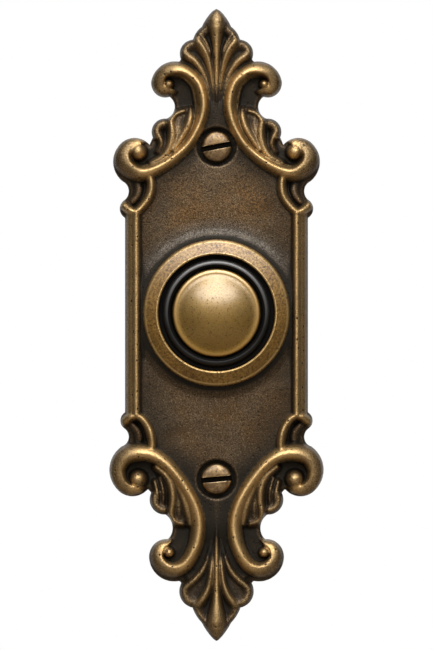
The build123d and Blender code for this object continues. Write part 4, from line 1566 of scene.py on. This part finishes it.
def set_pair(name, master, first, second, turns, material):
    """Two copies of a master at two places in millimetres; the master is removed."""
    first, second = np.array(first) * MM, np.array(second) * MM
    values = {
        "Master": master, "First": first.tolist(), "Step": (second - first).tolist(),
        "First Turn": math.radians(turns[0]), "Second Turn": math.radians(turns[1]), "Material": material,
    }
    piece = grown(name, pair, values)
    bpy.data.objects.remove(master)
    return piece


# %% Wall screws
neck_radius, core_radius = 1.75, 1.25
neck_end, taper_from = -0.3, -18.4
screw_tip = -screw_high[1]
head_side = 3.6
head_edge = head_radius - 0.02
slot_width, slot_depth = 1.05, 0.9
pitch = 1.25
thread_long = neck_end - taper_from - 1.0
tip_blunt = 0.5


def head_height(radius):
    """The height of a wall screw's domed head at a radius."""
    return head_side + (screw_top - head_side) * (1 - (radius / head_radius) ** 4) ** 0.5


head = [(r, head_height(r)) for r in np.linspace(0, head_edge, 24)]
blank = slotted("wall_screw_blank", head + [
    (head_radius, head_side - 0.1),
    (head_radius, counterbore_floor + 0.1),
    (head_radius - 0.1, counterbore_floor),
    (neck_radius, counterbore_floor),
    (neck_radius, neck_end),
    (core_radius, neck_end - 0.4),
    (core_radius, taper_from),
    (0, screw_tip),
], slot_width, screw_top - slot_depth, screw_top)
thread = {
    "Start Radius": core_radius * MM, "End Radius": core_radius * MM, "Closed Share": 0.0,
    "Turns": thread_long / pitch, "Length": thread_long * MM,
    "Wire Radius": 0.36 * MM, "Wire Sides": 4, "Rear": -taper_from * MM, "Material": brass_screw,
}
tip = dict(thread, **{
    "Start Radius": 0.15 * MM, "Turns": 2.8, "Length": (taper_from - screw_tip - tip_blunt) * MM,
    "Rear": (-screw_tip - tip_blunt) * MM,
})
threads = [grown("wall_thread", helix, thread), grown("wall_tip", helix, tip)]
master = joined("wall_screw_master", blank, *threads)
wall_screws = set_pair("wall_screws", master, (0, 0, -screw_z), (0, 0, screw_z), (-5, -11), brass_screw)
print("wall screw faces", len(wall_screws.data.polygons))

# %% Spring
spring_low, spring_high = box_mm("return_spring")
wire_radius = 0.26
coil_radius = spring_high[0] - wire_radius
spring_length = spring_high[1] - spring_low[1]
spring = grown("spring_coil", helix, {
    "Start Radius": coil_radius * MM, "End Radius": coil_radius * MM, "Closed Share": 0.13, "Turns": 6.0,
    "Length": (spring_length - 2 * wire_radius) * MM, "Wire Radius": wire_radius * MM, "Wire Sides": 12,
    "Rear": (spring_high[1] - wire_radius) * MM, "Material": steel,
})
print("spring faces", len(spring.data.polygons))

# %% Small screws behind the wall
def centre_mm(node):
    """The middle of a CAD node, in millimetres."""
    low, high = box_mm(node)
    return (low + high) / 2


def small_screw(name, node, head_r, shank_r, head_long, slot_width, slot_deep, sunk):
    """A screw whose head, countersunk or domed, is at its rear end, as long as its CAD node."""
    low, high = box_mm(node)
    rear, long = -high[1], high[1] - low[1]
    if sunk:
        head = [(head_r - 0.02, 0), (head_r, 0.15)]
    else:
        head = [(head_r - 0.5, 0), (head_r - 0.2, 0.05), (head_r, 0.3), (head_r, head_long)]
    shank = [(shank_r, head_long), (shank_r, long - 0.2), (shank_r - 0.2, long)]
    profile = [(r, rear + h) for r, h in [(0, 0)] + head + shank + [(0, long)]]
    return slotted(name, profile, slot_width, rear + slot_deep, rear, 48)


def pair_of(name, left, right, turns, material, **sizes):
    """A pair of small screws at the places of two CAD nodes."""
    master = small_screw(name + "_master", left, **sizes)
    spots = [centre_mm(node) * (1, 0, 1) for node in (left, right)]
    return set_pair(name, master, *spots, turns, material)


housing_screws = pair_of(
    "housing_screws", "housing_screw_lower", "housing_screw_upper", (20, -35), steel,
    head_r=2.0, shank_r=1.0, head_long=1.1, slot_width=0.5, slot_deep=0.5, sunk=True,
)
terminal_screws = pair_of(
    "terminal_screws", "terminal_screw_left", "terminal_screw_right", (15, -25), brass_bare,
    head_r=1.7, shank_r=0.9, head_long=1.2, slot_width=0.5, slot_deep=0.6, sunk=False,
)
print("small screw faces", [len(piece.data.polygons) for piece in (housing_screws, terminal_screws)])

# %% [markdown]
# ## Softened mouldings and stampings
# The switch's parts are plain blocks in the CAD, and they stay that shape. Mouldings and
# stampings have small rounded edges, so a copy of each node is merged to a clean mesh and its
# sharp edges are bevelled by a tenth or two of a millimetre.

# %% Softened mouldings and stampings
def softened(name, node, width, material):
    """A copy of a CAD node with clean faces and bevelled edges."""
    shape = bmesh.new()
    shape.from_mesh(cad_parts[node].data)
    bmesh.ops.remove_doubles(shape, verts=shape.verts, dist=1e-7)
    bmesh.ops.dissolve_limit(shape, angle_limit=math.radians(2), verts=shape.verts, edges=shape.edges)
    edges = [e for e in shape.edges if e.is_manifold and e.calc_face_angle() > math.radians(35)]
    bmesh.ops.bevel(
        shape, geom=edges, offset=width * MM, segments=2, profile=0.5, affect="EDGES", clamp_overlap=True,
    )
    bmesh.ops.recalc_face_normals(shape, faces=shape.faces)
    for face in shape.faces:
        face.smooth = True
    mesh = bpy.data.meshes.new(name)
    shape.to_mesh(mesh)
    shape.free()
    mesh.set_sharp_from_angle(angle=math.radians(50))
    mesh.materials.append(material)
    return in_scene(name, mesh)


soft_pieces = [
    ("plunger_moulding", "plunger", 0.15, white, "white_plastic", "button"),
    ("clip_stamping", "retaining_clip", 0.08, steel, "spring_steel", "button"),
    ("bridge_stamping", "contact_bridge", 0.08, brass_bare, "bare_brass", "button"),
    ("housing_moulding", "switch_housing", 0.2, black, "black_plastic", "plate"),
    ("gasket_sheet", "housing_gasket", 0.08, rubber, "black_rubber", "plate"),
    ("terminal_moulding", "terminal_base", 0.15, black, "black_plastic", "plate"),
    ("blade_left_stamping", "contact_blade_left", 0.06, brass_bare, "bare_brass", "plate"),
    ("blade_right_stamping", "contact_blade_right", 0.06, brass_bare, "bare_brass", "plate"),
    ("washer_left_stamping", "terminal_washer_left", 0.08, brass_bare, "bare_brass", "plate"),
    ("washer_right_stamping", "terminal_washer_right", 0.08, brass_bare, "bare_brass", "plate"),
]
for name, node, width, material, slot, body in soft_pieces:
    piece = softened(name, node, width, material)
    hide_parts(node)
    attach(piece, body)
print("softened pieces", len(soft_pieces))

# %% [markdown]
# ## Joining the pieces to the frame
# Each dressed piece takes the place of its CAD node and rides on the body it belongs to. The
# rubber ring is painted darker and duller in the gap beside the button and on its foot, as
# shade, so those faces get a second finish.

# %% The rubber's two finishes
shaded_below, shaded_inside = ring_low + 0.3, ring_mean - 0.25
seal.data.materials.append(rubber)
seal.data.materials.append(rubber_shaded)
# Painted shade: faces low on the foot and inside the bead get the darker, duller rubber.
for face in seal.data.polygons:
    low = -face.center.y / MM < shaded_below
    inner = math.hypot(face.center.x, face.center.z) / MM < shaded_inside
    face.material_index = int(low or inner)
print("dull rubber faces", sum(face.material_index for face in seal.data.polygons))

# %% Joining the pieces to the frame
dressed = [
    (plate, brass_cast, "antique_brass", "plate", ["escutcheon_plate"]),
    (bezel, brass_bezel, "satin_brass", "plate", ["bezel_ring"]),
    (seal, None, "black_rubber", "plate", ["seal_ring"]),
    (button, brass_satin, "satin_brass", "button", ["button_cap"]),
    (wall_screws, None, "dark_brass", "plate", ["mounting_screw_upper", "mounting_screw_lower"]),
    (housing_screws, None, "spring_steel", "plate", ["housing_screw_upper", "housing_screw_lower"]),
    (terminal_screws, None, "bare_brass", "plate", ["terminal_screw_left", "terminal_screw_right"]),
    (spring, None, "spring_steel", "plate", ["return_spring"]),
]
for piece, material, slot, body, nodes in dressed:
    if material:
        piece.data.materials.append(material)
    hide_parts(*nodes)
    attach(piece, body)
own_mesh(spring)
for node in ("contact_rivet_left", "contact_rivet_right"):
    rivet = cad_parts[node].data
    rivet.materials.clear()
    rivet.materials.append(silver)
print("pieces", len(dressed) + len(soft_pieces))

# %% [markdown]
# ## Camera, light and floor
# The photograph is a straight front view on white, lit by a large soft source above the
# camera: the button's highlight sits on the upper half of its dome. A long lens keeps the view
# flat. The background is white for the camera and for reflections that run on past the object.
# Elsewhere the metal reflects a studio that is darker and warmer below, which models the relief.

# %% Camera
middle_z = -2.3
photo_height = 124.8
distance = 800.0
film_width = 36.0
camera_data = bpy.data.cameras.new("front_camera")
camera_data.sensor_width = film_width
camera_data.lens = film_width * distance / photo_height
camera_data.clip_start = 0.01
camera_data.clip_end = 10.0
camera = in_scene("front_camera", camera_data)
camera.location = (0, -distance * MM, middle_z * MM)
camera.rotation_euler = (math.pi / 2, 0, 0)
bpy.context.scene.camera = camera
print("lens", round(camera_data.lens, 1), "mm")

# %% Lights
def soft_light(name, where, width, height, power):
    """An oval area light that faces the origin."""
    data = bpy.data.lights.new(name, "AREA")
    data.shape = "ELLIPSE"
    data.energy = power
    data.size = width
    data.size_y = height
    lamp = in_scene(name, data)
    lamp.location = where
    lamp.rotation_euler = (-Vector(where)).to_track_quat("-Z", "Y").to_euler()
    return lamp


lamps = [
    soft_light("key", (0, -0.72, 0.555), 1.2, 0.55, 6.2),
    soft_light("top_fill", (0, -0.3, 0.9), 0.6, 0.6, 3.3),
]
print("lights", [lamp.name for lamp in lamps])

# %% World
warm_floor_light, clear_light = (1, 0.80, 0.58), (1, 0.98, 0.95)
world = bpy.data.worlds.new("studio")
world.use_nodes = True
tree = world.node_tree
tree.nodes.clear()
way = add(tree, "ShaderNodeSeparateXYZ", {0: add(tree, "ShaderNodeTexCoord").outputs["Generated"]}).outputs
high = span(tree, way["Z"], -0.6, 0.6, 0.20, 0.75)
aside = span(tree, maths(tree, "ABSOLUTE", way["X"]), 0.2, 0.9, 1.0, 0.3)
behind = span(tree, way["Y"], -0.3, 0.3, 1.0, 0.35)
level = maths(tree, "MULTIPLY", maths(tree, "MULTIPLY", high, aside), behind)
tint = blend(tree, span(tree, way["Z"], -0.4, 0.4), warm_floor_light, clear_light)
studio = add(tree, "ShaderNodeBackground", {"Strength": level, "Color": tint}).outputs[0]
backdrop = add(tree, "ShaderNodeBackground", {"Color": (1, 1, 1, 1)}).outputs[0]
ray = add(tree, "ShaderNodeLightPath").outputs
bounced = maths(tree, "MAXIMUM", ray["Is Glossy Ray"], ray["Is Transmission Ray"])
past_object = maths(tree, "MULTIPLY", bounced, span(tree, way["Y"], 0.6, 0.9))
white_share = maths(tree, "MAXIMUM", ray["Is Camera Ray"], past_object)
seen = add(tree, "ShaderNodeMixShader", {0: white_share, 1: studio, 2: backdrop}).outputs[0]
add(tree, "ShaderNodeOutputWorld", {"Surface": seen})
bpy.context.scene.world = world
print("world", world.name, "with", len(tree.nodes), "nodes")

# %% Floor
floor_radius = 0.5
floor_z = -0.2
floor_mesh = bpy.data.meshes.new("floor")
shape = bmesh.new()
bmesh.ops.create_circle(shape, cap_ends=True, segments=64, radius=floor_radius)
shape.to_mesh(floor_mesh)
shape.free()
floor = in_scene("floor", floor_mesh)
floor.location = (0, 0, floor_z)
floor_material, tree, shader = new_material("floor", roughness=0.8)
pale = blend(tree, noise(tree, object_place(tree), 3.0), (0.80, 0.80, 0.79), (0.83, 0.83, 0.82))
in_mirror = add(tree, "ShaderNodeLightPath").outputs["Is Glossy Ray"]
# Painted reflection: in the metal's reflections the floor is darker and warmer than to the camera.
feed(tree, shader, base_color=blend(tree, in_mirror, pale, (0.30, 0.26, 0.21)))
floor_mesh.materials.append(floor_material)
print("floor at", floor_z, "m")

bpy.context.scene.view_settings.view_transform = "Standard"
